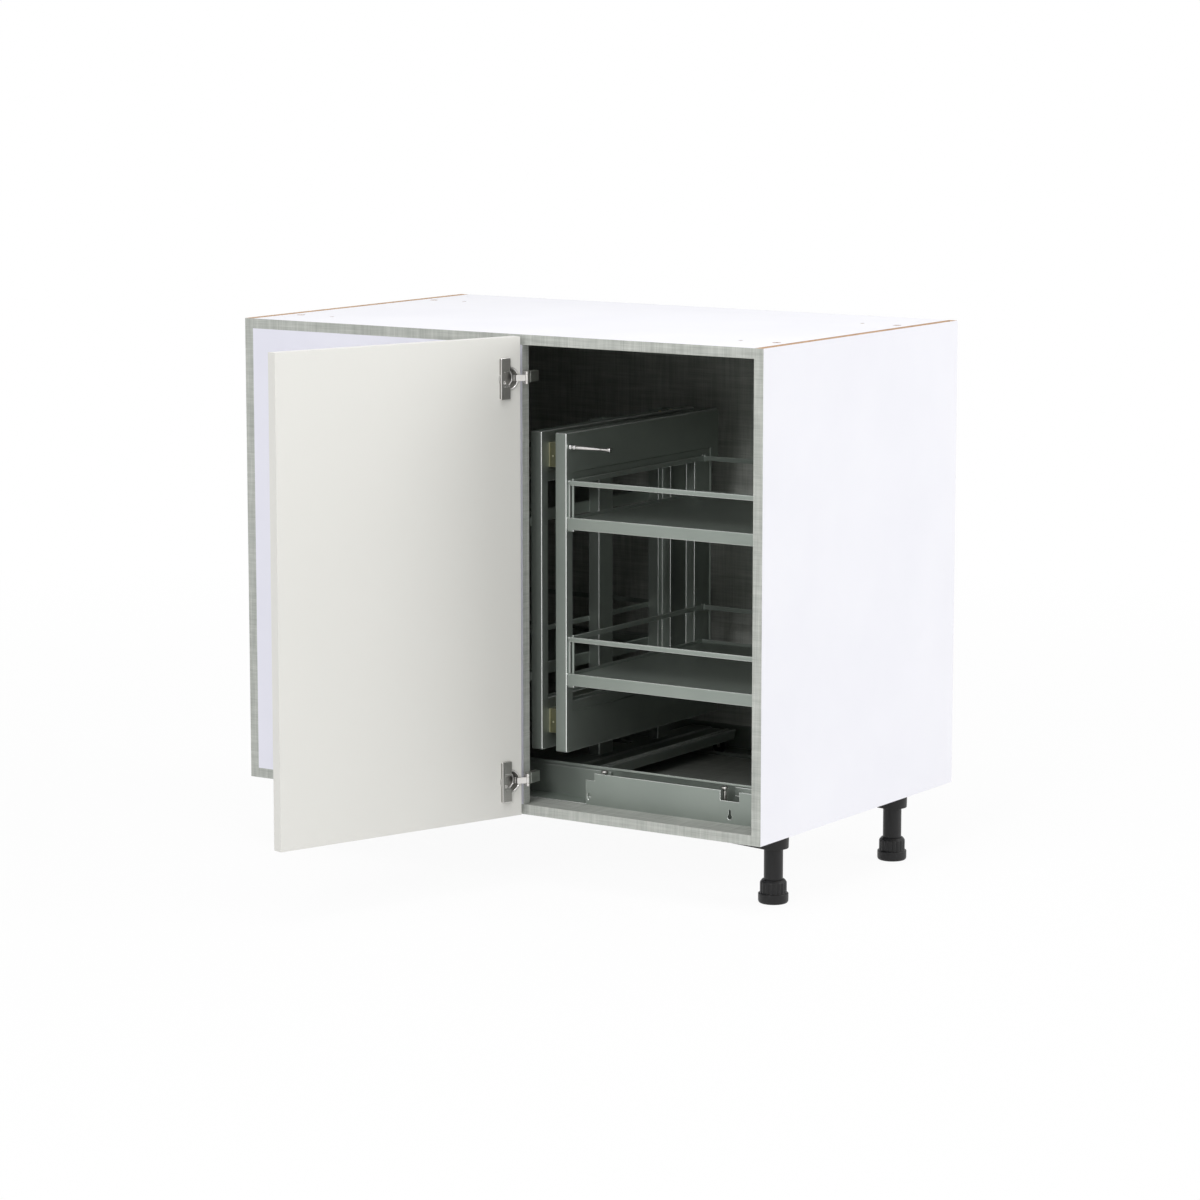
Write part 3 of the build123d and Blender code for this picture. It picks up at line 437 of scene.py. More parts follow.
@dataclass(frozen=True)
class Plate:
    """Plated metal: drawn lines along one axis, faint stains, and a bright or satin surface."""

    colour: Colour
    stain: Colour
    roughness: float
    spread: float = 0.3
    drawn: Place = (900.0, 25.0, 900.0)
    stain_scale: float = 60.0
    relief: Pair = (0.00002, 0.25)

    def material(self, name: str) -> Material:
        """A noise drawn out along the piece gives its lines, and a rounder one its stains."""
        graph = Graph(name)
        lines = graph.noise(self.drawn)
        stains = graph.noise(self.stain_scale, 4.0, 0.6)
        colour = graph.ramp(stains, (0.35, self.stain), (0.6, self.colour))
        gloss = (self.roughness * (1 - self.spread), self.roughness * (1 + self.spread))
        return graph.close(Look(colour, graph.range(lines, gloss), lines), self.relief, Metallic=1.0)


@dataclass(frozen=True)
class Moulded:
    """Black moulded plastic with a spark-eroded texture and a slightly uneven sheen."""

    colour: Colour = (0.010, 0.010, 0.0104)
    worn: Colour = (0.017, 0.017, 0.0175)
    gloss: Pair = (0.32, 0.5)
    specular: float = 0.32
    pit_scale: float = 1500.0
    sheen_scale: Place = (30.0, 30.0, 12.0)
    relief: Pair = (0.00006, 0.3)

    def material(self, name: str) -> Material:
        """A fine noise pits the surface, and a slow one varies the sheen."""
        graph = Graph(name)
        pits = graph.noise(self.pit_scale)
        sheen = graph.noise(self.sheen_scale, 3.0)
        colour = graph.ramp(sheen, (0.35, self.colour), (0.75, self.worn))
        look = Look(colour, graph.range(sheen, self.gloss), pits)
        return graph.close(look, self.relief, Specular_IOR_Level=self.specular)


@dataclass(frozen=True)
class Beech:
    """Turned beech with its grain along the dowel."""

    pale: Colour = (0.62, 0.43, 0.26)
    dark: Colour = (0.45, 0.28, 0.15)
    grain_scale: Place = (40.0, 1400.0, 1400.0)
    gloss: Pair = (0.7, 0.55)
    relief: Pair = (0.0001, 0.4)

    def material(self, name: str) -> Material:
        """A noise drawn out along the dowel is the grain."""
        graph = Graph(name)
        grain = graph.noise(self.grain_scale, 3.0)
        colour = graph.ramp(grain, (0.3, self.dark), (0.65, self.pale))
        return graph.close(Look(colour, graph.range(grain, self.gloss), grain), self.relief)


# Surfaces


def eased(corners: Line, radius: float, closed: bool = False, steps: int = 4) -> np.ndarray:
    """Rounds the corners of a line.

    Each corner p gives way to the curve (1-t)^2 a + 2t(1-t) p + t^2 b, where a and b lie the radius away from p
    towards its neighbours, or nearly half-way to the nearer one where that is less.

    Args:
        corners: The line's corners.
        radius: How far from each corner its curve starts.
        closed: Whether the last corner joins the first.
        steps: How many runs each curve has.

    Returns:
        The points of the rounded line.
    """
    p = np.array(corners, float)
    back, on = np.roll(p, 1, axis=0) - p, np.roll(p, -1, axis=0) - p
    back_reach, on_reach = (np.maximum(np.linalg.norm(run, axis=1, keepdims=True), TINY) for run in (back, on))
    pull = np.minimum(radius, NEARLY_HALF * np.minimum(back_reach, on_reach))
    if not closed:
        pull[[0, -1]] = 0.0
    a, b = p + back / back_reach * pull, p + on / on_reach * pull
    t = np.linspace(0, 1, steps + 1)[None, :, None]
    curve = (1 - t) ** 2 * a[:, None] + 2 * t * (1 - t) * p[:, None] + t ** 2 * b[:, None]
    return curve.reshape(-1, p.shape[1])


def full_turn(sides: int) -> np.ndarray:
    """Angles once round, one for each side."""
    return np.linspace(0, 2 * pi, sides, endpoint=False)


def arc(centre: Pair, radii: Pair, turn: np.ndarray) -> np.ndarray:
    """Points of an ellipse: the centre plus the radii times the cosine and the sine of each turn."""
    return np.array(centre) + np.column_stack([radii[0] * np.cos(turn), radii[1] * np.sin(turn)])


@dataclass(frozen=True)
class Outline:
    """A closed line in a plane, anticlockwise, as an array of points by 2."""

    points: np.ndarray

    @classmethod
    def rounded(cls, x: Pair, y: Pair, radius: float, steps: int = 4) -> "Outline":
        """A rectangle with its corners rounded."""
        return cls.loop([(x[0], y[0]), (x[1], y[0]), (x[1], y[1]), (x[0], y[1])], radius, steps)

    @classmethod
    def loop(cls, corners: Line, radius: float, steps: int = 4) -> "Outline":
        """Any closed line with its corners rounded."""
        return cls(eased(corners, radius, closed=True, steps=steps))

    @classmethod
    def capsule(cls, start: Pair, end: Pair, radii: Pair, steps: int = 16) -> "Outline":
        """Two round ends joined by tangents.

        With the radii R and r and the ends L apart, the tangents leave both ends at the angle acos((R - r) / L)
        from the line between them.

        Args:
            start: The first end's centre.
            end: The second end's centre.
            radii: The ends' radii.
            steps: How many points the second end has, and half as many as the first has.

        Returns:
            The outline.
        """
        run = np.array(end) - np.array(start)
        heading = float(np.arctan2(run[1], run[0]))
        lean = acos((radii[0] - radii[1]) / float(np.hypot(*run)))
        far = heading + np.linspace(-lean, lean, steps)
        near = heading + np.linspace(lean, 2 * pi - lean, steps * 2)
        return cls(np.concatenate([arc(end, (radii[1],) * 2, far), arc(start, (radii[0],) * 2, near)]))

    def ring(self, offset: float = 0.0) -> np.ndarray:
        """The points moved outwards, across the line from the point before to the point after each."""
        chord = np.roll(self.points, -1, axis=0) - np.roll(self.points, 1, axis=0)
        outward = np.column_stack([chord[:, 1], -chord[:, 0]]) / np.linalg.norm(chord, axis=1, keepdims=True)
        return self.points + offset * outward


class Flutes(NamedTuple):
    """Grooves round a turned form: how many, how deep, and the heights between which they run."""

    count: int
    depth: float
    low: float
    high: float


@dataclass
class Surface:
    """Points and four-sided faces, as arrays, that become one mesh."""

    points: np.ndarray
    faces: np.ndarray

    @classmethod
    def grid(cls, points: np.ndarray, loop_u: bool = False, loop_v: bool = False) -> "Surface":
        """Joins a grid of points by quads.

        Args:
            points: An array of rows by columns by 3.
            loop_u: Whether the last row joins the first.
            loop_v: Whether the last column joins the first.

        Returns:
            The surface.
        """
        rows, columns = points.shape[:2]
        u = np.arange(rows if loop_u else rows - 1)[:, None]
        v = np.arange(columns if loop_v else columns - 1)[None, :]
        near, far = u * columns, (u + 1) % rows * columns
        beside = (v + 1) % columns
        quads = np.stack([near + v, near + beside, far + beside, far + v], axis=-1)
        return cls(points.reshape(-1, 3).astype(float), quads.reshape(-1, 4))

    @classmethod
    def stacked(cls, outline: Outline, profile: Line, capped: bool = True) -> "Surface":
        """Carries a profile of offsets and heights round an outline.

        Row i of the grid is the outline moved outwards by the profile's i-th offset, at its i-th height. A cap
        gathers the first and the last row in the outline's middle.

        Args:
            outline: The outline, in plan.
            profile: Offsets and heights.
            capped: Whether the first and last row close over the middle, or else join each other.

        Returns:
            The closed surface.
        """
        offsets, heights = np.array(profile, float).T
        rings = np.stack([outline.ring(offset) for offset in offsets])
        levels = np.repeat(heights[:, None, None], rings.shape[1], axis=1)
        points = np.concatenate([rings, levels], axis=2)
        if capped:
            middle = np.concatenate([outline.points.mean(axis=0), [0.0]])
            ends = [np.tile(middle + (0, 0, z), (1, rings.shape[1], 1)) for z in (heights[0], heights[-1])]
            points = np.concatenate([ends[0], points, ends[1]])
        return cls.grid(points, loop_u=not capped, loop_v=True)

    @classmethod
    def bar(cls, section: np.ndarray, ends: Pair, ease: float = 0.0) -> "Surface":
        """A closed section carried straight up from one height to another, its end edges eased."""
        inner = [(-ease, ends[0]), (0.0, ends[0]), (0.0, ends[1]), (-ease, ends[1])]
        profile = eased(inner, ease, steps=3) if ease else [(0.0, ends[0]), (0.0, ends[1])]
        return cls.stacked(Outline(section), profile)

    @classmethod
    def block(cls, x: Pair, y: Pair, z: Pair, corner: float, ease: float = 0.0, steps: int = 4) -> "Surface":
        """A box whose upright edges are rounded and whose end edges are eased."""
        return cls.bar(Outline.rounded(x, y, corner, steps).points, z, ease)

    @classmethod
    def raised(cls, x: Pair, y: Pair, height: float, slope: float, corner: float, ease: float) -> "Surface":
        """A low boss on level 0, whose walls end in a crown that slopes inwards to its flat top."""
        profile = eased([(0.0, 0.0), (0.0, height), (-slope, height)], ease)
        return cls.stacked(Outline.rounded(x, y, corner), profile)

    @classmethod
    def turned(cls, profile: Line, sides: int = 48, flutes: Flutes | None = None,
               looped: bool = False) -> "Surface":
        """A surface of revolution about the upright axis.

        Each profile point, a radius r and a height, goes round the axis: x = r cos a, y = r sin a. Between the
        flutes' heights, r loses their depth times the sixth power of the cosine of half the flutes' angle.

        Args:
            profile: Radii and heights, from one end to the other.
            sides: How many sides the round has.
            flutes: The grooves round it.
            looped: Whether the last row joins the first, for a ring.

        Returns:
            The surface, closed where the profile ends on the axis.
        """
        r, z = np.array(profile, float).T
        angle = full_turn(sides)
        radius = np.repeat(r[:, None], sides, axis=1)
        if flutes:
            grooved = ((z >= flutes.low) & (z <= flutes.high))[:, None]
            radius = radius - grooved * flutes.depth * np.cos(angle * flutes.count / 2) ** 6
        points = np.stack([radius * np.cos(angle), radius * np.sin(angle), z[:, None] + 0 * radius], axis=-1)
        return cls.grid(points, loop_u=looped, loop_v=True)

    @classmethod
    def pin(cls, radius: float, ends: Pair, ease: float, sides: int) -> "Surface":
        """A turned pin from one height to another, its rims eased."""
        profile = [(0.0, ends[0]), (radius, ends[0]), (radius, ends[1]), (0.0, ends[1])]
        return cls.turned(eased(profile, ease), sides)

    @classmethod
    def joined(cls, *surfaces: "Surface") -> "Surface":
        """Several surfaces as one."""
        starts = np.cumsum([0] + [len(s.points) for s in surfaces[:-1]])
        faces = [s.faces + start for s, start in zip(surfaces, starts)]
        return cls(np.concatenate([s.points for s in surfaces]), np.concatenate(faces))

    def shifted(self, x: float, y: float, z: float) -> "Surface":
        """The surface moved."""
        return Surface(self.points + (x, y, z), self.faces)

    def facing(self, across: Axis, back: Axis, up: Axis) -> "Surface":
        """The surface with its own x, y and z laid along other axes of the cabinet's frame."""
        turned = np.empty_like(self.points)
        turned[:, [axis.column for axis in (across, back, up)]] = self.points
        return Surface(turned, self.faces)

    def stood(self) -> "Surface":
        """The surface stood up: its own y goes up and its z back."""
        return self.facing(Axis.ACROSS, Axis.UP, Axis.BACK)

    def lengthwise(self) -> "Surface":
        """The surface laid along the cabinet: its own x goes back, y up and z across."""
        return self.facing(Axis.BACK, Axis.UP, Axis.ACROSS)

    def reversed_depth(self) -> "Surface":
        """The surface mirrored from front to back, for a piece that points forwards."""
        return Surface(self.points * (1, -1, 1), self.faces)

    def swung(self, pivot: Pair, degrees: float) -> "Surface":
        """The surface turned about an upright pivot: the plan distance from it goes round by the angle."""
        c, s = cos(radians(degrees)), sin(radians(degrees))
        away = self.points[:, :2] - pivot
        plan = away @ np.array([(c, s), (-s, c)]) + pivot
        return Surface(np.column_stack([plan, self.points[:, 2]]), self.faces)

    def piece(self, name: str, crease: float = CREASE) -> Object:
        """Makes the mesh and its object: doubles merged, normals outwards, sharp edges kept crisp.

        Args:
            name: The piece's name.
            crease: The angle in degrees from which an edge is sharp.

        Returns:
            The new object, at the origin.
        """
        mesh = bpy.data.meshes.new(name)
        mesh.vertices.add(len(self.points))
        mesh.vertices.foreach_set("co", self.points.ravel())
        mesh.loops.add(self.faces.size)
        mesh.loops.foreach_set("vertex_index", self.faces.ravel())
        mesh.polygons.add(len(self.faces))
        mesh.polygons.foreach_set("loop_start", np.arange(0, self.faces.size, 4))
        mesh.update(calc_edges=True)
        return smoothed(linked(name, tidied(mesh)), crease)


def linked(name: str, data: bpy.types.ID) -> Object:
    """An object for a mesh, curve, lamp or camera, in the scene."""
    made = bpy.data.objects.new(name, data)
    bpy.context.scene.collection.objects.link(made)
    return made


def tidied(mesh: Mesh) -> Mesh:
    """Merges doubles, drops faces without area and turns the faces outwards."""
    work = bmesh.new()
    work.from_mesh(mesh)
    bmesh.ops.remove_doubles(work, verts=work.verts, dist=MERGE)
    bmesh.ops.dissolve_degenerate(work, edges=work.edges, dist=MERGE / 10)
    bmesh.ops.recalc_face_normals(work, faces=work.faces)
    work.to_mesh(mesh)
    work.free()
    return mesh


def folds(mesh: Mesh) -> np.ndarray:
    """How far each face is part of a rolled fold, from 0 to 1.

    The angle between the two faces at each edge is the arc cosine of their normals' product. Each face takes the
    largest of its edges' angles that isn't a crease, and the result grows from 0 at the least angle of a fold to
    1 at a full one. A face whose width, twice its area over its outline's length, is more than a fold's is flat
    sheet and stays at 0, and so does a face that bends at one edge alone.

    Args:
        mesh: The mesh.

    Returns:
        One number for each face.
    """
    count = len(mesh.polygons)
    normals, areas, sizes = np.empty(count * 3), np.empty(count), np.empty(count, int)
    mesh.polygons.foreach_get("normal", normals)
    mesh.polygons.foreach_get("area", areas)
    mesh.polygons.foreach_get("loop_total", sizes)
    edges, ends = np.empty(len(mesh.loops), int), np.empty(len(mesh.edges) * 2, int)
    mesh.loops.foreach_get("edge_index", edges)
    mesh.edges.foreach_get("vertices", ends)
    points = np.empty(len(mesh.vertices) * 3)
    mesh.vertices.foreach_get("co", points)
    lengths = np.linalg.norm(np.diff(points.reshape(-1, 3)[ends.reshape(-1, 2)], axis=1)[:, 0], axis=1)
    face = np.repeat(np.arange(count), sizes)
    width = 2 * areas / np.maximum(np.bincount(face, lengths[edges], count), TINY)
    order = np.argsort(edges, kind="stable")
    twin = np.flatnonzero(edges[order][1:] == edges[order][:-1])
    pair = [face[order[twin + step]] for step in (0, 1)]
    first, second = (normals.reshape(-1, 3)[side] for side in pair)
    angle = np.degrees(np.arccos(np.clip((first * second).sum(axis=1), -1.0, 1.0)))
    angle[angle > SHEET_CREASE] = 0.0
    found, bends = np.zeros(count), np.zeros(count)
    for side in pair:
        np.maximum.at(found, side, angle)
        bends += np.bincount(side, angle > FOLD_BEND, count)
    share = np.clip((found - FOLD_START) / (FOLD_FULL - FOLD_START), 0.0, 1.0)
    return share * (width < FOLD_WIDTH) * (bends > 1.0)


def smoothed(piece: Object, crease: float) -> Object:
    """Shades the piece smooth, with flat faces kept even, and marks its folds.

    Args:
        piece: The piece.
        crease: The angle in degrees from which an edge stays crisp.

    Returns:
        The piece.
    """
    mesh = piece.data
    mesh.polygons.foreach_set("use_smooth", np.ones(len(mesh.polygons), bool))
    mesh.set_sharp_from_angle(angle=radians(crease))
    # The fold attribute marks where the satin paint lays its painted highlight.
    mesh.attributes.new("fold", "FLOAT", "FACE").data.foreach_set("value", folds(mesh))
    mesh.update()
    even = piece.modifiers.new("even_shading", "WEIGHTED_NORMAL")
    even.keep_sharp = True
    return piece


def pressed_plate(name: str, outlines: list[np.ndarray], thickness: float, ease: float,
                  crease: float = CREASE) -> Object:
    """A flat plate with holes: a filled curve of one outer line and its holes, extruded, its edges eased.

    Args:
        name: The piece's name.
        outlines: The outer line first, then each hole, as arrays of points by 2.
        thickness: The plate's thickness, centred on its own level 0.
        ease: The edges' radius.
        crease: The angle in degrees from which an edge stays crisp.

    Returns:
        The new piece, lying flat at the origin.
    """
    sketch = bpy.data.curves.new(f"{name}_sketch", "CURVE")
    sketch.dimensions = "2D"
    sketch.fill_mode = "BOTH"
    sketch.extrude = thickness / 2 - ease
    sketch.bevel_depth = ease
    sketch.bevel_resolution = 2
    sketch.offset = -ease
    for outline in outlines:
        line = sketch.splines.new("POLY")
        line.points.add(len(outline) - 1)
        flat = np.column_stack([outline, np.zeros(len(outline)), np.ones(len(outline))])
        line.points.foreach_set("co", flat.ravel())
        line.use_cyclic_u = True
    holder = linked(f"{name}_sketch", sketch)
    bpy.context.view_layer.update()
    mesh = bpy.data.meshes.new_from_object(holder.evaluated_get(bpy.context.evaluated_depsgraph_get()))
    bpy.data.objects.remove(holder)
    bpy.data.curves.remove(sketch)
    mesh.name = name
    return smoothed(linked(name, tidied(mesh)), crease)


def laid(piece: Object, across: Axis, up: Axis, place: Place) -> Object:
    """Lays a flat piece's own x and y along two axes of the cabinet's frame, and moves it to its place.

    The piece's own z goes along the third axis. Where that turns the mesh inside out, its faces are turned back.

    Args:
        piece: The flat piece.
        across: The axis that takes its x.
        up: The axis that takes its y.
        place: Where its own origin goes.

    Returns:
        The piece.
    """
    mesh = piece.data
    points = np.empty(len(mesh.vertices) * 3)
    mesh.vertices.foreach_get("co", points)
    order = [across.column, up.column]
    order.append(3 - sum(order))
    turned = np.empty((len(mesh.vertices), 3))
    turned[:, order] = points.reshape(-1, 3)
    mesh.vertices.foreach_set("co", (turned + place).ravel())
    mesh.update()
    if np.linalg.det(np.eye(3)[order]) < 0:
        mesh.flip_normals()
    return piece


def rolled_copy(node: str, width: float) -> Object:
    """A copy of a CAD node: its loose triangles merged, its flat faces joined and its edges rounded by a Bevel.

    Args:
        node: The node.
        width: The Bevel's width.

    Returns:
        The new piece.
    """
    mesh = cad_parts[node].data.copy()
    work = bmesh.new()
    work.from_mesh(mesh)
    bmesh.ops.remove_doubles(work, verts=work.verts, dist=MERGE)
    bmesh.ops.dissolve_limit(work, angle_limit=radians(FLAT), verts=work.verts, edges=work.edges)
    work.to_mesh(mesh)
    work.free()
    mesh.polygons.foreach_set("use_smooth", np.ones(len(mesh.polygons), bool))
    piece = linked(f"{node}_pressed", mesh)
    bevel = piece.modifiers.new("rolled_edges", "BEVEL")
    bevel.width = width
    bevel.segments = 2
    bevel.limit_method = "ANGLE"
    bevel.angle_limit = radians(BEVELLED)
    piece.modifiers.new("even_shading", "WEIGHTED_NORMAL")
    return piece


def finished(piece: Object, finish: Material) -> Object:
    """The piece with the finish as its only material."""
    piece.data.materials.clear()
    piece.data.materials.append(finish)
    return piece


def dress(piece: Object, finish: Material, body: str, slot: str, *nodes: str) -> None:
    """Gives a piece its finish and its body, and hides the nodes that it stands for.

    Args:
        piece: The finished piece.
        finish: Its material.
        body: The CAD body that it rides on.
        slot: The record's material slot. It is not used.
        nodes: The CAD nodes that it replaces.
    """
    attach(finished(piece, finish), body)
    if nodes:
        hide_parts(*nodes)
    log.info("%s on %s, %d points", piece.name, body, len(piece.data.vertices))


def coat(finish: Material, *nodes: str) -> None:
    """Gives CAD nodes that stay in view their finish."""
    for node in nodes:
        finished(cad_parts[node], finish)
        log.info("%s keeps its solid, in %s", node, finish.name)


# Sub-assemblies


@dataclass
class LevellingLeg:
    """A moulded teardrop socket, a plain tube, and a foot with a fluted collar."""

    corner: str
    finish: Material
    socket_radius: float = 0.0242
    tail_radius: float = 0.012
    tail_reach: float = 0.070
    wall: float = 0.0025
    lip: float = 0.0006
    ceiling_depth: float = 0.004
    lap: float = 0.001
    socket_ring: Pair = (0.0001, 0.0036)
    rib_half: float = 0.0007
    rib_start: float = 0.004
    ribs: tuple[Pair, ...] = ((0.0255, 0.0170), (0.0465, 0.0135))
    tube_radius: float = 0.015
    tube_bore: float = 0.0083
    clearance: float = 0.0004
    collar_radius: float = 0.021
    collar_top: float = 0.0373
    shoulder: Pair = (0.0034, 0.0042)
    pad_radius: float = 0.0238
    pad_height: float = 0.016
    pad_bevel: Pair = (0.0018, 0.0030)
    stem_radius: float = 0.008
    stem_bevel: float = 0.001
    flutes: int = 18
    flute_depth: float = 0.0011
    flute_ends: Pair = (0.0007, 0.0040)
    crease: float = 30.0

    def build(self) -> None:
        """Makes the three mouldings where their solids stand."""
        foot = Span.of(f"foot_{self.corner}")
        stand = ((foot.left + foot.right) / 2, (foot.front + foot.rear) / 2, 0.0)
        self.foot(foot.top, stand)
        self.tube(stand)
        self.socket(stand, -1.0 if self.corner.endswith("right") else 1.0)

    def foot(self, stem_top: float, stand: Place) -> None:
        """The pad with its rounded rims, the fluted collar with its shoulder, and the stem inside the tube."""
        pad, high, neck, top = self.pad_radius, self.pad_height, self.collar_radius, self.collar_top
        bore, stem, bevel = self.tube_radius + self.clearance, self.stem_radius, self.stem_bevel
        outside = eased([
            (0.0, 0.0), (pad - self.pad_bevel[0], 0.0), (pad, self.pad_bevel[1]), (pad, high - self.clearance),
            (neck, high), (neck, top - self.shoulder[1]), (neck - self.shoulder[0], top), (bore, top),
        ], radius=0.0016)
        inside = [(bore, high + self.clearance), (stem, high + self.clearance), (stem, stem_top - bevel),
                  (stem - bevel, stem_top), (0.0, stem_top)]
        flutes = Flutes(self.flutes, self.flute_depth, high + self.flute_ends[0], top - self.flute_ends[1])
        shape = Surface.turned(np.concatenate([outside, inside]), sides=144, flutes=flutes)
        name = f"foot_{self.corner}"
        piece = shape.shifted(*stand).piece(f"{name}_moulding", self.crease)
        dress(piece, self.finish, name, "black_plastic", name)

    def tube(self, stand: Place) -> None:
        """The tube's wall as a closed ring, with its rims eased."""
        name = f"leg_tube_{self.corner}"
        span = Span.of(name)
        inner, outer = self.tube_bore, self.tube_radius
        wall = [(inner, span.bottom), (outer, span.bottom), (outer, span.top), (inner, span.top)]
        ring = Surface.turned(eased(wall, radius=0.0006, closed=True), sides=64, looped=True)
        piece = ring.shifted(*stand).piece(f"{name}_moulding")
        dress(piece, self.finish, "carcass", "black_plastic", name)

    def socket(self, stand: Place, tail: float) -> None:
        """The teardrop skirt, open below, with the ring that takes the tube and two ribs in its tail."""
        name = f"leg_socket_{self.corner}"
        low, top = Span.of(name).bottom, Span.of(name).top
        radii = (self.socket_radius, self.tail_radius)
        drop = Outline.capsule((0.0, 0.0), (tail * self.tail_reach, 0.0), radii, steps=24)
        ceiling = top - self.ceiling_depth
        skirt = [(-self.wall, ceiling), (-self.wall, low), (-self.lip, low), (0.0, ceiling), (0.0, top)]
        inner, outer = (self.tube_radius + reach for reach in self.socket_ring)
        lapped = ceiling + self.lap
        ring = [(inner, low), (outer, low), (outer, lapped), (inner, lapped)]
        thick = (-self.rib_half, self.rib_half)
        ribs = [
            Surface.block(thick, (-half, half), (low + self.rib_start, lapped), corner=0.0004)
            .shifted(tail * reach, 0.0, 0.0)
            for reach, half in self.ribs
        ]
        shape = Surface.joined(
            Surface.stacked(drop, eased(skirt, radius=0.0011)),
            Surface.turned(eased(ring, radius=0.0005, closed=True), sides=64, looped=True),
            *ribs,
        )
        dress(shape.shifted(*stand).piece(f"{name}_moulding"), self.finish, "carcass", "black_plastic", name)


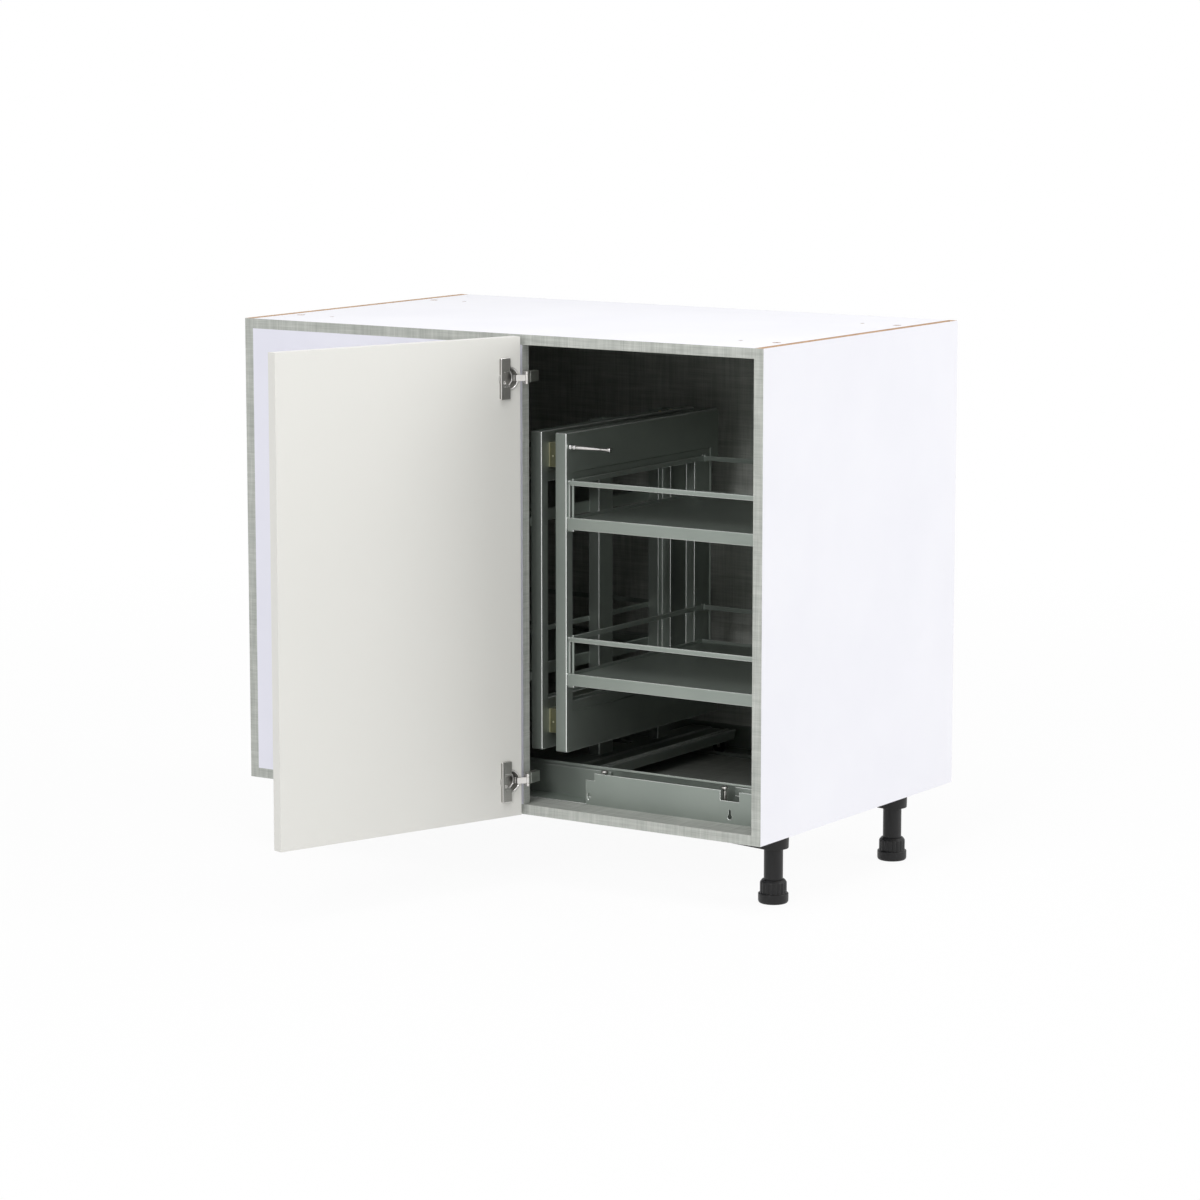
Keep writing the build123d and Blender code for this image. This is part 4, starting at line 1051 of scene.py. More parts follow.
@dataclass
class ConcealedHinge:
    """A cup with its plate on the door, its link, and the arm with its bracket on the blind panel.

    A place in plan is a pair: how far it is in from the cabinet's right face, and how far behind its front face.
    """

    level: str
    nickel: Material
    satin: Material
    # The darker copy of the nickel for the arm's block: painted shade.
    dark: Material
    open_degrees: float = 108.5
    pivot: Pair = (0.449, -0.0155)
    cup_place: Pair = (0.4335, -0.0025)
    cup_radius: float = 0.0175
    cup_wall: float = 0.001
    cup_depth: float = 0.0114
    cup_floor: Pair = (0.0145, 0.004)
    rim: float = 0.0012
    plate: float = 0.0014
    plate_ends: Pair = (-0.0010, 0.0172)
    plate_half: float = 0.0325
    wing_start: float = 0.012
    wing_height: float = 0.0042
    rail_start: float = 0.0118
    rail_height: float = 0.0045
    rail_slope: float = 0.0014
    lap: float = 0.001
    ledge_height: float = 0.0028
    ledge_slope: float = 0.0008
    ledge_lap: float = 0.0005
    saddle_start: float = 0.0079
    saddle_half: float = 0.0098
    saddle_height: float = 0.0033
    saddle_slope: float = 0.0012
    screw_place: Place = (0.0106, -0.0064, 0.0035)
    screw_profile: tuple[Pair, ...] = (
        (0.0, -0.0004), (0.0010, -0.0004), (0.0012, 0.0012), (0.0024, 0.0016), (0.0028, 0.0), (0.0028, -0.004),
    )
    nose: Pair = (0.4241, -0.0099)
    elbow: Pair = (0.4465, 0.0002)
    tip: Pair = (0.446, -0.0045)
    link_half: float = 0.0048
    link_rim: float = 0.0006
    link_radii: Pair = (0.0016, 0.0013)
    eye_radii: Pair = (0.0032, 0.0019)
    heel: Pair = (0.4322, -0.0008)
    cheek_radius: float = 0.0032
    cheek_half: float = 0.0095
    cheek_rim: float = 0.0005
    cheek_gap: float = 0.0004
    pin_radius: float = 0.0019
    arm_width: float = 0.007
    arm_front: Pair = (0.035, 0.024)
    arm_half: float = 0.0088
    block_depth: float = 0.0242
    block_half: float = 0.0086
    flange_inset: float = 0.4395
    flange_sheet: float = 0.0021
    flange_gap: float = 0.00005
    flange_corner: float = 0.004
    screw_holes: tuple[Pair, ...] = ((0.4601, -0.013), (0.4601, 0.013))
    hole_radius: float = 0.0021
    leg_across: Pair = (-0.0022, -0.0001)
    leg_half: float = 0.00875
    crease: float = 45.0

    def build(self) -> None:
        """Makes the hinge's four members about its middle height."""
        link = Span.of(f"hinge_link_{self.level}")
        self.middle = (link.bottom + link.top) / 2
        self.cup()
        self.link()
        self.arm()
        self.bracket()

    @staticmethod
    def spot(place: Pair) -> Pair:
        """A place of the hinge in the cabinet's frame."""
        return (RIGHT_FACE - place[0], FRONT_FACE + place[1])

    def opened(self, shape: Surface) -> Surface:
        """A shape of the closed door, swung open with it."""
        return shape.swung(self.spot(self.pivot), -self.open_degrees)

    def placed(self, shape: Surface, name: str, crease: float = CREASE) -> Object:
        """A shape made about level 0, raised to the hinge's middle as a piece."""
        return shape.shifted(0.0, 0.0, self.middle).piece(name, crease)

    def bracket(self) -> None:
        """The angle behind the blind panel: a flange with two screw holes, and the leg that carries the arm."""
        name = f"hinge_bracket_{self.level}"
        box = Span.of(name)
        half = (box.top - box.bottom) / 2
        across = (box.left, RIGHT_FACE - self.flange_inset)
        flange = Outline.rounded(across, (-half, half), self.flange_corner).points
        radii = (self.hole_radius,) * 2
        holes = [arc((RIGHT_FACE - inset, rise), radii, full_turn(24)) for inset, rise in self.screw_holes]
        plate = pressed_plate(f"{name}_flange", [flange, *holes], self.flange_sheet, ease=0.0004)
        depth = box.front + self.flange_sheet / 2 + self.flange_gap
        laid(plate, Axis.ACROSS, Axis.UP, (0.0, depth, self.middle))
        dress(plate, self.nickel, "carcass", "nickel", name)
        arm = Span.of(f"hinge_arm_{self.level}").left
        across = tuple(arm + reach for reach in self.leg_across)
        high = (-self.leg_half, self.leg_half)
        leg = Surface.block(across, (box.front, box.rear), high, corner=0.0006, ease=0.0006)
        dress(self.placed(leg, f"{name}_leg"), self.nickel, "carcass", "nickel")

    def cup(self) -> None:
        """The bowl with its rolled rim, and round it the plate: a rail with a saddle and a screw, and two wings.

        Local x runs from the cup's axis away from the door's hinge edge, y up and z out of the door's face. Each
        wing has a lower ledge beside the bowl.
        """
        inside, rim = self.cup_radius - self.cup_wall, self.cup_radius + self.rim
        deep, level = -self.cup_depth, self.plate
        bowl = eased([
            (0.0, deep), (self.cup_floor[0], deep), (inside, deep + self.cup_floor[1]),
            (inside, level - 0.0002), (rim - 0.0006, level + 0.0004), (rim, level - 0.0004), (rim, 0.0),
        ], radius=0.0012)
        start, end = self.plate_ends
        beside = (start, self.rail_start + self.lap)
        high, slope = self.plate_half, self.rail_slope
        plate = [
            Surface.raised((self.rail_start, end), (-high, high),
                           self.rail_height, slope, corner=0.0012, ease=0.0009),
            Surface.raised((self.saddle_start, beside[1]), (-self.saddle_half, self.saddle_half),
                           self.saddle_height, self.saddle_slope, corner=0.0008, ease=0.0008),
            Surface.turned(eased(self.screw_profile, radius=0.0004), sides=24).shifted(*self.screw_place),
        ]
        for side in (-1, 1):
            wing = tuple(sorted((side * self.wing_start, side * high)))
            plate.append(Surface.raised(beside, wing, self.wing_height, slope, corner=0.0012, ease=0.0009))
        for side in (-1, 1):
            reaches = (self.cheek_half + self.cheek_gap, self.wing_start + self.ledge_lap)
            ledge = tuple(sorted(side * reach for reach in reaches))
            height, slope = self.ledge_height, self.ledge_slope
            plate.append(Surface.raised(beside, ledge, height, slope, corner=0.0006, ease=0.0005))
        whole = Surface.joined(Surface.turned(bowl, sides=64), *plate).stood()
        hung = self.opened(whole.shifted(*self.spot(self.cup_place), 0.0))
        piece = self.placed(hung, f"hinge_cup_{self.level}_pressed", self.crease)
        # The cup wears the darker copy of the nickel, painted shade, with painted highlights along its folds.
        dress(piece, self.satin, "door", "nickel", f"hinge_cup_{self.level}")

    def link(self) -> None:
        """The cranked link, as two flat bars with round ends that meet at the elbow, and its rolled eyes."""
        pin = self.spot(self.nose)
        closed = np.array([(*self.spot(place), 0.0) for place in (self.elbow, self.tip)])
        elbow, tip = (tuple(point[:2]) for point in self.opened(Surface(closed, np.empty((0, 4), int))).points)
        half, (wide, narrow) = self.link_half, self.link_radii
        rim = self.link_rim
        profile = eased([(-rim, -half), (0.0, -half), (0.0, half), (-rim, half)], radius=0.0005)
        shape = Surface.joined(
            Surface.stacked(Outline.capsule(pin, elbow, (wide, narrow)), profile),
            Surface.stacked(Outline.capsule(elbow, tip, (narrow, narrow)), profile),
            *(Surface.pin(radius, (-half, half), ease=0.0006, sides=32).shifted(*place, 0.0)
              for place, radius in zip((pin, tip), self.eye_radii)),
        )
        piece = self.placed(shape, f"hinge_link_{self.level}_pressed")
        dress(piece, self.nickel, "hinge_links", "nickel", f"hinge_link_{self.level}")

    def arm(self) -> None:
        """The arm's two cheeks with its pin, its body past the panel's edge, and the block behind in a darker
        copy of the nickel: painted shade.
        """
        name = f"hinge_arm_{self.level}"
        body = Span.of(name)
        pin, heel = self.spot(self.nose), self.spot(self.heel)
        inner, outer, head = self.link_half + self.cheek_gap, self.cheek_half, self.cheek_half + self.cheek_gap
        rim = self.cheek_rim
        cheek = eased([(-rim, inner), (0.0, inner), (0.0, outer), (-rim, outer)], radius=0.0005)
        side = Outline.capsule(pin, heel, (self.cheek_radius,) * 2)
        across = (body.left, body.left + self.arm_width)
        front = tuple(body.rear - back for back in self.arm_front)
        shape = Surface.joined(
            Surface.stacked(side, cheek),
            Surface.stacked(side, cheek * (1.0, -1.0)),
            Surface.pin(self.pin_radius, (-head, head), ease=0.0005, sides=24).shifted(*pin, 0.0),
            Surface.block(across, front, (-self.arm_half, self.arm_half), corner=0.0014, ease=0.0007),
        )
        dress(self.placed(shape, f"{name}_front"), self.nickel, "carcass", "nickel", name)
        rear = (body.rear - self.block_depth, body.rear)
        block = Surface.block(across, rear, (-self.block_half, self.block_half), corner=0.0016, ease=0.0008)
        dress(self.placed(block, f"{name}_block"), self.dark, "carcass", "nickel")


@dataclass
class PressedFrame:
    """An upright sheet frame with rolled folds, open to the left, with a shallow strip pressed round its window.

    The step from the face down to the strip is a row of lines: how far each stands out at the front, how far in
    it lies elsewhere, and its share of the recess.
    """

    node: str
    body: str
    finish: Material
    front_post: float = 0.019
    rear_post: float = 0.070
    band: float = 0.081
    strip: float = 0.019
    recess: float = 0.002
    step: tuple[Place, ...] = (
        (0.0010, 0.0, 0.0), (0.0006, 0.0004, 0.0), (0.0, 0.0020, 1.0), (0.0, 0.0024, 1.0),
    )
    sheet: float = 0.0015
    fold: float = 0.0012
    margin: float = 0.0004
    waist: float = 0.022
    ear: float = 0.006
    outer_corner: float = 0.0028
    window_corner: float = 0.0015
    hem: float = 0.0025
    hem_roll: Pair = (0.0007, 0.0006)

    def build(self) -> None:
        """One closed surface: rows of eight-cornered lines from the outer fold to the window and back inside."""
        box = Span.of(self.node)
        sides = (box.front + self.front_post, box.rear - self.rear_post)
        window = (*sides, box.bottom + self.band, box.top - self.band)
        face, floor, left = box.right, box.right - self.recess, box.left
        front, shelf = window[0] - self.fold, box.rear - self.waist - self.fold
        low, high = window[2] - self.strip, window[3] + self.strip
        slope = [
            (self.inner(front - out, shelf - inside, low + inside, high - inside), face - share * self.recess)
            for out, inside, share in self.step
        ]
        quarter = np.linspace(0, pi / 2, 5)
        outer, plain, hem, (roll, curl) = self.outer(box), self.inner(*window), left + self.hem, self.hem_roll
        rows = [(outer, 0.0, left)]
        rows += [(outer, -self.fold * (1 - cos(t)), face - self.fold * (1 - sin(t))) for t in quarter]
        rows += [(line, 0.0, level) for line, level in slope]
        rows += [(self.wider(window, self.fold + self.margin), 0.0, floor)]
        rows += [
            (self.wider(window, self.fold * (1 - sin(t))), 0.0, floor - self.fold * (1 - cos(t)))
            for t in quarter
        ]
        rows += [(plain, 0.0, hem), (plain, -roll, hem - curl), (plain, -roll, left + curl), (plain, 0.0, left)]
        rows += [(plain, self.sheet, left), (plain, self.sheet, floor - self.sheet)]
        rows += [(line, 0.0, level - self.sheet) for line, level in slope[2:0:-1]]
        rows += [(outer, -self.sheet, face - self.sheet), (outer, -self.sheet, left)]
        loops = [np.insert(line.ring(grow), 0, across, axis=1) for line, grow, across in rows]
        skin = Surface.grid(np.stack(loops), loop_u=True, loop_v=True)
        piece = skin.piece(f"{self.node}_pressed", SHEET_CREASE)
        dress(piece, self.finish, self.body, "mechanism_paint", self.node)

    def outer(self, box: Span) -> Outline:
        """The frame's outer line: its rear post stands back between the bands' longer rear ends."""
        low, high = box.bottom + self.band + self.ear, box.top - self.band - self.ear
        back = box.rear - self.waist
        corners = [(box.front, box.bottom), (box.rear, box.bottom), (box.rear, low), (back, low), (back, high),
                   (box.rear, high), (box.rear, box.top), (box.front, box.top)]
        return Outline.loop(corners, self.outer_corner, steps=3)

    def inner(self, front: float, rear: float, bottom: float, top: float, knot: float = 0.001) -> Outline:
        """A rectangle with as many corners as the outer line, four of them knots of its straight rear side."""
        corners = [(front, bottom), (rear, bottom), (rear, bottom + knot), (rear, bottom + 2 * knot),
                   (rear, top - 2 * knot), (rear, top - knot), (rear, top), (front, top)]
        return Outline.loop(corners, self.window_corner, steps=3)

    def wider(self, window: tuple[float, ...], spare: float) -> Outline:
        """The window's line with room to spare on each side."""
        front, rear, bottom, top = window
        return self.inner(front - spare, rear + spare, bottom - spare, top + spare)


@dataclass
class WireTray:
    """A sheet tray with a chamfered rim, and the guard rail over it on its rods."""

    row: str
    level: str
    body: str
    finish: Material
    sheet: float = 0.002
    floor_drop: float = 0.005
    corner: float = 0.0025
    rim_slope: Pair = (0.0008, 0.0018)
    rail_depth: float = 0.005
    rail_height: float = 0.0075
    rail_corner: float = 0.006
    rail_slope: Pair = (0.0009, 0.0019)
    rod_radius: float = 0.0022
    rod_inset: float = 0.0046
    rod_tip: float = 0.0008
    rod_foot: Place = (0.0032, 0.0035, 0.0042)
    nub: float = 0.003
    front_rod_shift: float = 0.0054
    clamp_radius: float = 0.0014
    clamp_reaches: Pair = (0.0014, 0.0066)
    clamp_shift: float = 0.0012
    clamp_ends: Pair = (0.002, 0.001)
    strap_across: Pair = (0.0002, 0.0042)
    strap_depth: Pair = (-0.0006, 0.0014)
    hook_across: Pair = (0.0004, 0.0110)
    hook_depth: Pair = (0.004, 0.010)
    hook_drop: float = 0.0035
    lap: float = 0.001

    def build(self) -> None:
        """Makes the tray and its gallery where their solids are."""
        for form, maker, ending in (("tray", self.tray, "pressed"), ("gallery", self.gallery, "wire")):
            node = f"{self.row}_{form}_{self.level}"
            piece = maker(Span.of(node)).piece(f"{node}_{ending}", SHEET_CREASE)
            dress(piece, self.finish, self.body, "mechanism_paint", node)

    def tray(self, tray: Span) -> Surface:
        """The tray: a section of its rim carried round its plan, and closed over its floor."""
        plan = Outline.rounded((tray.left, tray.right), (tray.front, tray.rear), self.corner, steps=3)
        floor, wall, (level, upright) = tray.top - self.floor_drop, self.sheet, self.rim_slope
        section = [(-wall, floor - wall), (-wall, tray.bottom), (0.0, tray.bottom), (0.0, tray.top - upright),
                   (-level, tray.top), (-wall, tray.top), (-wall, floor)]
        return Surface.stacked(plan, eased(section, radius=0.0004, steps=3))

    def gallery(self, rail: Span) -> Surface:
        """The guard rail: a hoop of flat bar, and the rods and other braces that carry it."""
        tray = Span.of(f"{self.row}_tray_{self.level}")
        floor, top = tray.top - self.floor_drop, rail.top - self.nub
        low, deep, (level, upright) = top - self.rail_height, self.rail_depth, self.rail_slope
        plan = Outline.rounded((rail.left, rail.right), (rail.front, rail.rear), self.rail_corner)
        section = [(-deep, low), (0.0, low), (0.0, top - upright), (-level, top), (-deep, top)]
        hoop = Surface.stacked(plan, eased(section, radius=0.0005, closed=True, steps=3), capped=False)
        front, rear = rail.front + self.rod_inset, rail.rear - self.rod_inset
        left, right = rail.left + self.rod_inset, rail.right - self.rod_inset
        spots = [(left, front), (right, front), (right, rear), (left, rear)]
        braces = []
        if self.row == "front":
            spots = [(left + self.front_rod_shift, front), (right, front), (right, rear)]
            braces = self.braces(tray, rail, low)
        thick, (foot, step, neck), tip = self.rod_radius, self.rod_foot, self.rod_tip
        rod = Surface.turned(eased([
            (0.0, floor), (foot, floor), (foot, floor + step), (thick, floor + neck), (thick, rail.top - tip),
            (thick - tip, rail.top), (0.0, rail.top),
        ], radius=0.0006), sides=36)
        return Surface.joined(hoop, *braces, *(rod.shifted(x, y, 0.0) for x, y in spots))

    def braces(self, tray: Span, rail: Span, low: float) -> list[Surface]:
        """What holds a front tray to its frame: two clamps at the rear, and a strap and a hook at the front."""
        front, rear = rail.front + self.rod_inset, rail.rear - self.rod_inset + self.clamp_shift
        ends = (low - self.clamp_ends[0], rail.top - self.clamp_ends[1])
        clamp = Surface.pin(self.clamp_radius, ends, ease=0.0005, sides=36)
        across = [rail.left + reach for reach in self.strap_across]
        depth = [front + reach for reach in self.strap_depth]
        height = (tray.top - self.floor_drop, low + self.lap)
        strap = Surface.block(across, depth, height, corner=0.0005, steps=3)
        across = [rail.left + reach for reach in self.hook_across]
        depth = [tray.front + reach for reach in self.hook_depth]
        height = (tray.bottom - self.hook_drop, tray.bottom + self.lap)
        hook = Surface.block(across, depth, height, corner=0.001, ease=0.0006)
        return [*(clamp.shifted(rail.left + reach, rear, 0.0) for reach in self.clamp_reaches), strap, hook]


@dataclass
class PullHandle:
    """A turned knob that points right from the pull-out frame's front post."""

    finish: Material
    crease: float = 60.0
    profile: tuple[Pair, ...] = (
        (0.0, 0.0), (0.0041, 0.0), (0.0043, 0.0030), (0.0034, 0.0040), (0.0034, 0.0046), (0.0043, 0.0056),
        (0.0043, 0.0105), (0.0039, 0.0118), (0.0040, 0.0165), (0.0032, 0.0330), (0.0019, 0.0545),
        (0.0018, 0.0580), (0.0028, 0.0670), (0.0042, 0.0768), (0.0041, 0.0778), (0.0030, 0.0780), (0.0, 0.0780),
    )

    def build(self) -> None:
        """The profile of radii and distances from the frame, rounded and turned about the knob's level axis."""
        box = Span.of("pull_handle")
        knob = Surface.turned(eased(self.profile, radius=0.0012, steps=3))
        knob = knob.facing(Axis.UP, Axis.BACK, Axis.ACROSS)
        placed = knob.shifted(box.left, (box.front + box.rear) / 2, (box.bottom + box.top) / 2)
        piece = placed.piece("pull_handle_turned", self.crease)
        dress(piece, self.finish, "pullout", "handle_chrome", "pull_handle")


@dataclass
class FloorRails:
    """The two floor rails, the fascia in front of them with its screw, and the guide rollers."""

    paint: Material
    metal: Material
    sheet: float = 0.0015
    bend: float = 0.0006
    runway: float = 0.032
    hem_front: float = 0.0020
    hem_drop: float = 0.0036
    hem_slope: Pair = (0.0012, 0.0024)
    wall_drop: float = 0.0014
    cover_depth: Pair = (0.0040, 0.0028)
    cover_margins: Pair = (0.001, 0.0060)
    cover_end: float = 0.335
    gutter_depth: float = 0.0130
    gutter_drop: Pair = (0.0170, 0.0018)
    gutter_start: float = 0.0975
    gutter_bend: float = 0.00074
    gutter_lap: float = 0.0005
    rear_lip: float = 0.006
    ear: float = 0.017
    ear_height: float = 0.040
    fascia_corner: float = 0.0052
    corner_reach: float = 0.02
    notch_inset: float = 0.088
    notch_width: float = 0.0346
    notch_depth: float = 0.0158
    key_height: float = 0.011
    key_radius: float = 0.004
    slot_height: float = 0.0205
    slot_radius: float = 0.002
    ear_hole: Pair = (0.0062, 0.0140)
    ear_hole_radii: Pair = (0.0032, 0.0058)
    screw_place: Place = (0.0056, 0.0014, 0.0115)
    screw_profile: tuple[Pair, ...] = (
        (0.0, 0.0), (0.0026, 0.0), (0.0026, 0.0012), (0.0016, 0.0018), (0.0, 0.0018),
    )
    roller_radius: float = 0.006
    roller_stem: float = 0.0034

    def build(self) -> None:
        """Bends both rails, presses the fascia and turns the rollers."""
        self.front_rail()
        self.rear_rail()
        self.fascia()
        self.rollers()

    def strip(self, depths: Pair, heights: Pair, ends: Pair, radius: float | None = None) -> Surface:
        """A bar of sheet along the cabinet, its four long edges eased to the radius, or else to the bend's."""
        section = Surface.block(depths, heights, ends, radius or self.bend, steps=3)
        return section.lengthwise()

    def hem(self, wall: float, top: float, ends: Pair) -> Surface:
        """The rolled top of the front rail's wall, with a slope that looks forwards and up."""
        front, rear, low = wall - self.hem_front, wall + self.sheet, top - self.hem_drop
        level, upright = self.hem_slope
        corners = [(front, low), (rear, low), (rear, top), (front + level, top), (front, top - upright)]
        return Surface.bar(Outline.loop(corners, radius=0.0004, steps=3).points, ends).lengthwise()

    def front_rail(self) -> None:
        """The runway with its hemmed wall, a cover before the wall on its left, and a gutter on its right."""
        rail, sheet = Span.of("front_floor_rail"), self.sheet
        wall = rail.rear - self.runway
        gutter = wall - self.gutter_depth
        ends, right_end = (rail.left, rail.right), (RIGHT_FACE - self.gutter_start, rail.right)
        left_end = (rail.left, RIGHT_FACE - self.cover_end)
        base, lip = (rail.top - drop for drop in self.gutter_drop)
        cover = (rail.bottom + self.cover_margins[0], rail.top - self.cover_margins[1])
        shape = Surface.joined(
            self.strip((rail.front, rail.rear), (rail.bottom, rail.bottom + sheet), ends),
            self.strip((wall, wall + sheet), (rail.bottom, rail.top - self.wall_drop), ends),
            self.hem(wall, rail.top, ends),
            self.strip(tuple(wall - depth for depth in self.cover_depth), cover, left_end),
            self.strip((gutter, gutter + sheet), (base + sheet, lip), right_end, self.gutter_bend),
            self.strip((gutter, wall + self.gutter_lap), (base, base + sheet), right_end),
        )
        piece = shape.piece("front_floor_rail_pressed", SHEET_CREASE)
        dress(piece, self.paint, "carcass", "mechanism_paint", "front_floor_rail")

    def rear_rail(self) -> None:
        """The rear rail's floor, its tall wall behind and its low lip in front."""
        rail, sheet = Span.of("rear_floor_rail"), self.sheet
        front = Span.of("front_floor_rail")
        ends = (front.left, front.right)
        shape = Surface.joined(
            self.strip((rail.front, rail.rear), (rail.bottom, rail.bottom + sheet), ends),
            self.strip((rail.rear - sheet, rail.rear), (rail.bottom, rail.top), ends),
            self.strip((rail.front, rail.front + sheet), (rail.bottom, rail.bottom + self.rear_lip), ends),
        )
        piece = shape.piece("rear_floor_rail_pressed", SHEET_CREASE)
        dress(piece, self.paint, "carcass", "mechanism_paint", "rear_floor_rail")

    def fascia(self) -> None:
        """The front plate: a step down to its ear, a notch, a keyhole and an oval hole with its screw."""
        box = Span.of("front_rail_fascia")
        left, right, low, top = box.left, box.right, box.bottom, box.top
        step, ear_top, sill = left + self.ear, low + self.ear_height, top - self.notch_depth
        middle = RIGHT_FACE - self.notch_inset
        notch = (middle - self.notch_width / 2, middle + self.notch_width / 2)
        reach = self.corner_reach
        corner = eased([(left + reach, low), (left, low), (left, low + reach)], self.fascia_corner, steps=6)
        outline = np.concatenate([corner, [
            (left, ear_top), (step, ear_top), (step, top), (notch[0], top), (notch[0], sill), (notch[1], sill),
            (notch[1], top), (right, top), (right, low),
        ]])
        key_turn, slot_turn = np.linspace(radians(120), radians(420), 25), np.linspace(0, pi, 9)
        keyhole = np.concatenate([
            arc((middle, low + self.key_height), (self.key_radius,) * 2, key_turn),
            arc((middle, low + self.slot_height), (self.slot_radius,) * 2, slot_turn),
        ])
        oval = arc((left + self.ear_hole[0], low + self.ear_hole[1]), self.ear_hole_radii, full_turn(32))
        lines = [outline, keyhole, oval]
        plate = pressed_plate("front_rail_fascia_pressed", lines, self.sheet, ease=0.0005, crease=SHEET_CREASE)
        laid(plate, Axis.ACROSS, Axis.UP, (0.0, box.front + self.sheet / 2, 0.0))
        dress(plate, self.paint, "carcass", "mechanism_paint", "front_rail_fascia")
        across, depth, height = self.screw_place
        screw = Surface.turned(eased(self.screw_profile, radius=0.0005), sides=28).stood()
        screw = screw.shifted(left + across, box.front + depth, low + height)
        dress(screw.piece("fascia_screw"), self.paint, "carcass", "nickel")

    def rollers(self) -> None:
        """Two turned rollers: a stem, a cone that widens upwards and a dished crown with an eased rim."""
        box = Span.of("guide_rollers")
        top, wide, stem = box.top, self.roller_radius, self.roller_stem
        roller = Surface.turned(eased([
            (0.0, box.bottom), (stem, box.bottom), (stem, top - 0.0062), (wide - 0.0002, top - 0.0034),
            (wide, top - 0.0030), (wide, top - 0.0008), (wide - 0.0008, top), (0.0022, top),
            (0.0016, top - 0.0006), (0.0, top - 0.0006),
        ], radius=0.0006), sides=40)
        middle = (box.front + box.rear) / 2
        pair = Surface.joined(*(roller.shifted(x, middle, 0.0) for x in (box.left + wide, box.right - wide)))
        piece = pair.piece("guide_rollers_turned", SHEET_CREASE)
        dress(piece, self.metal, "carcass", "nickel", "guide_rollers")


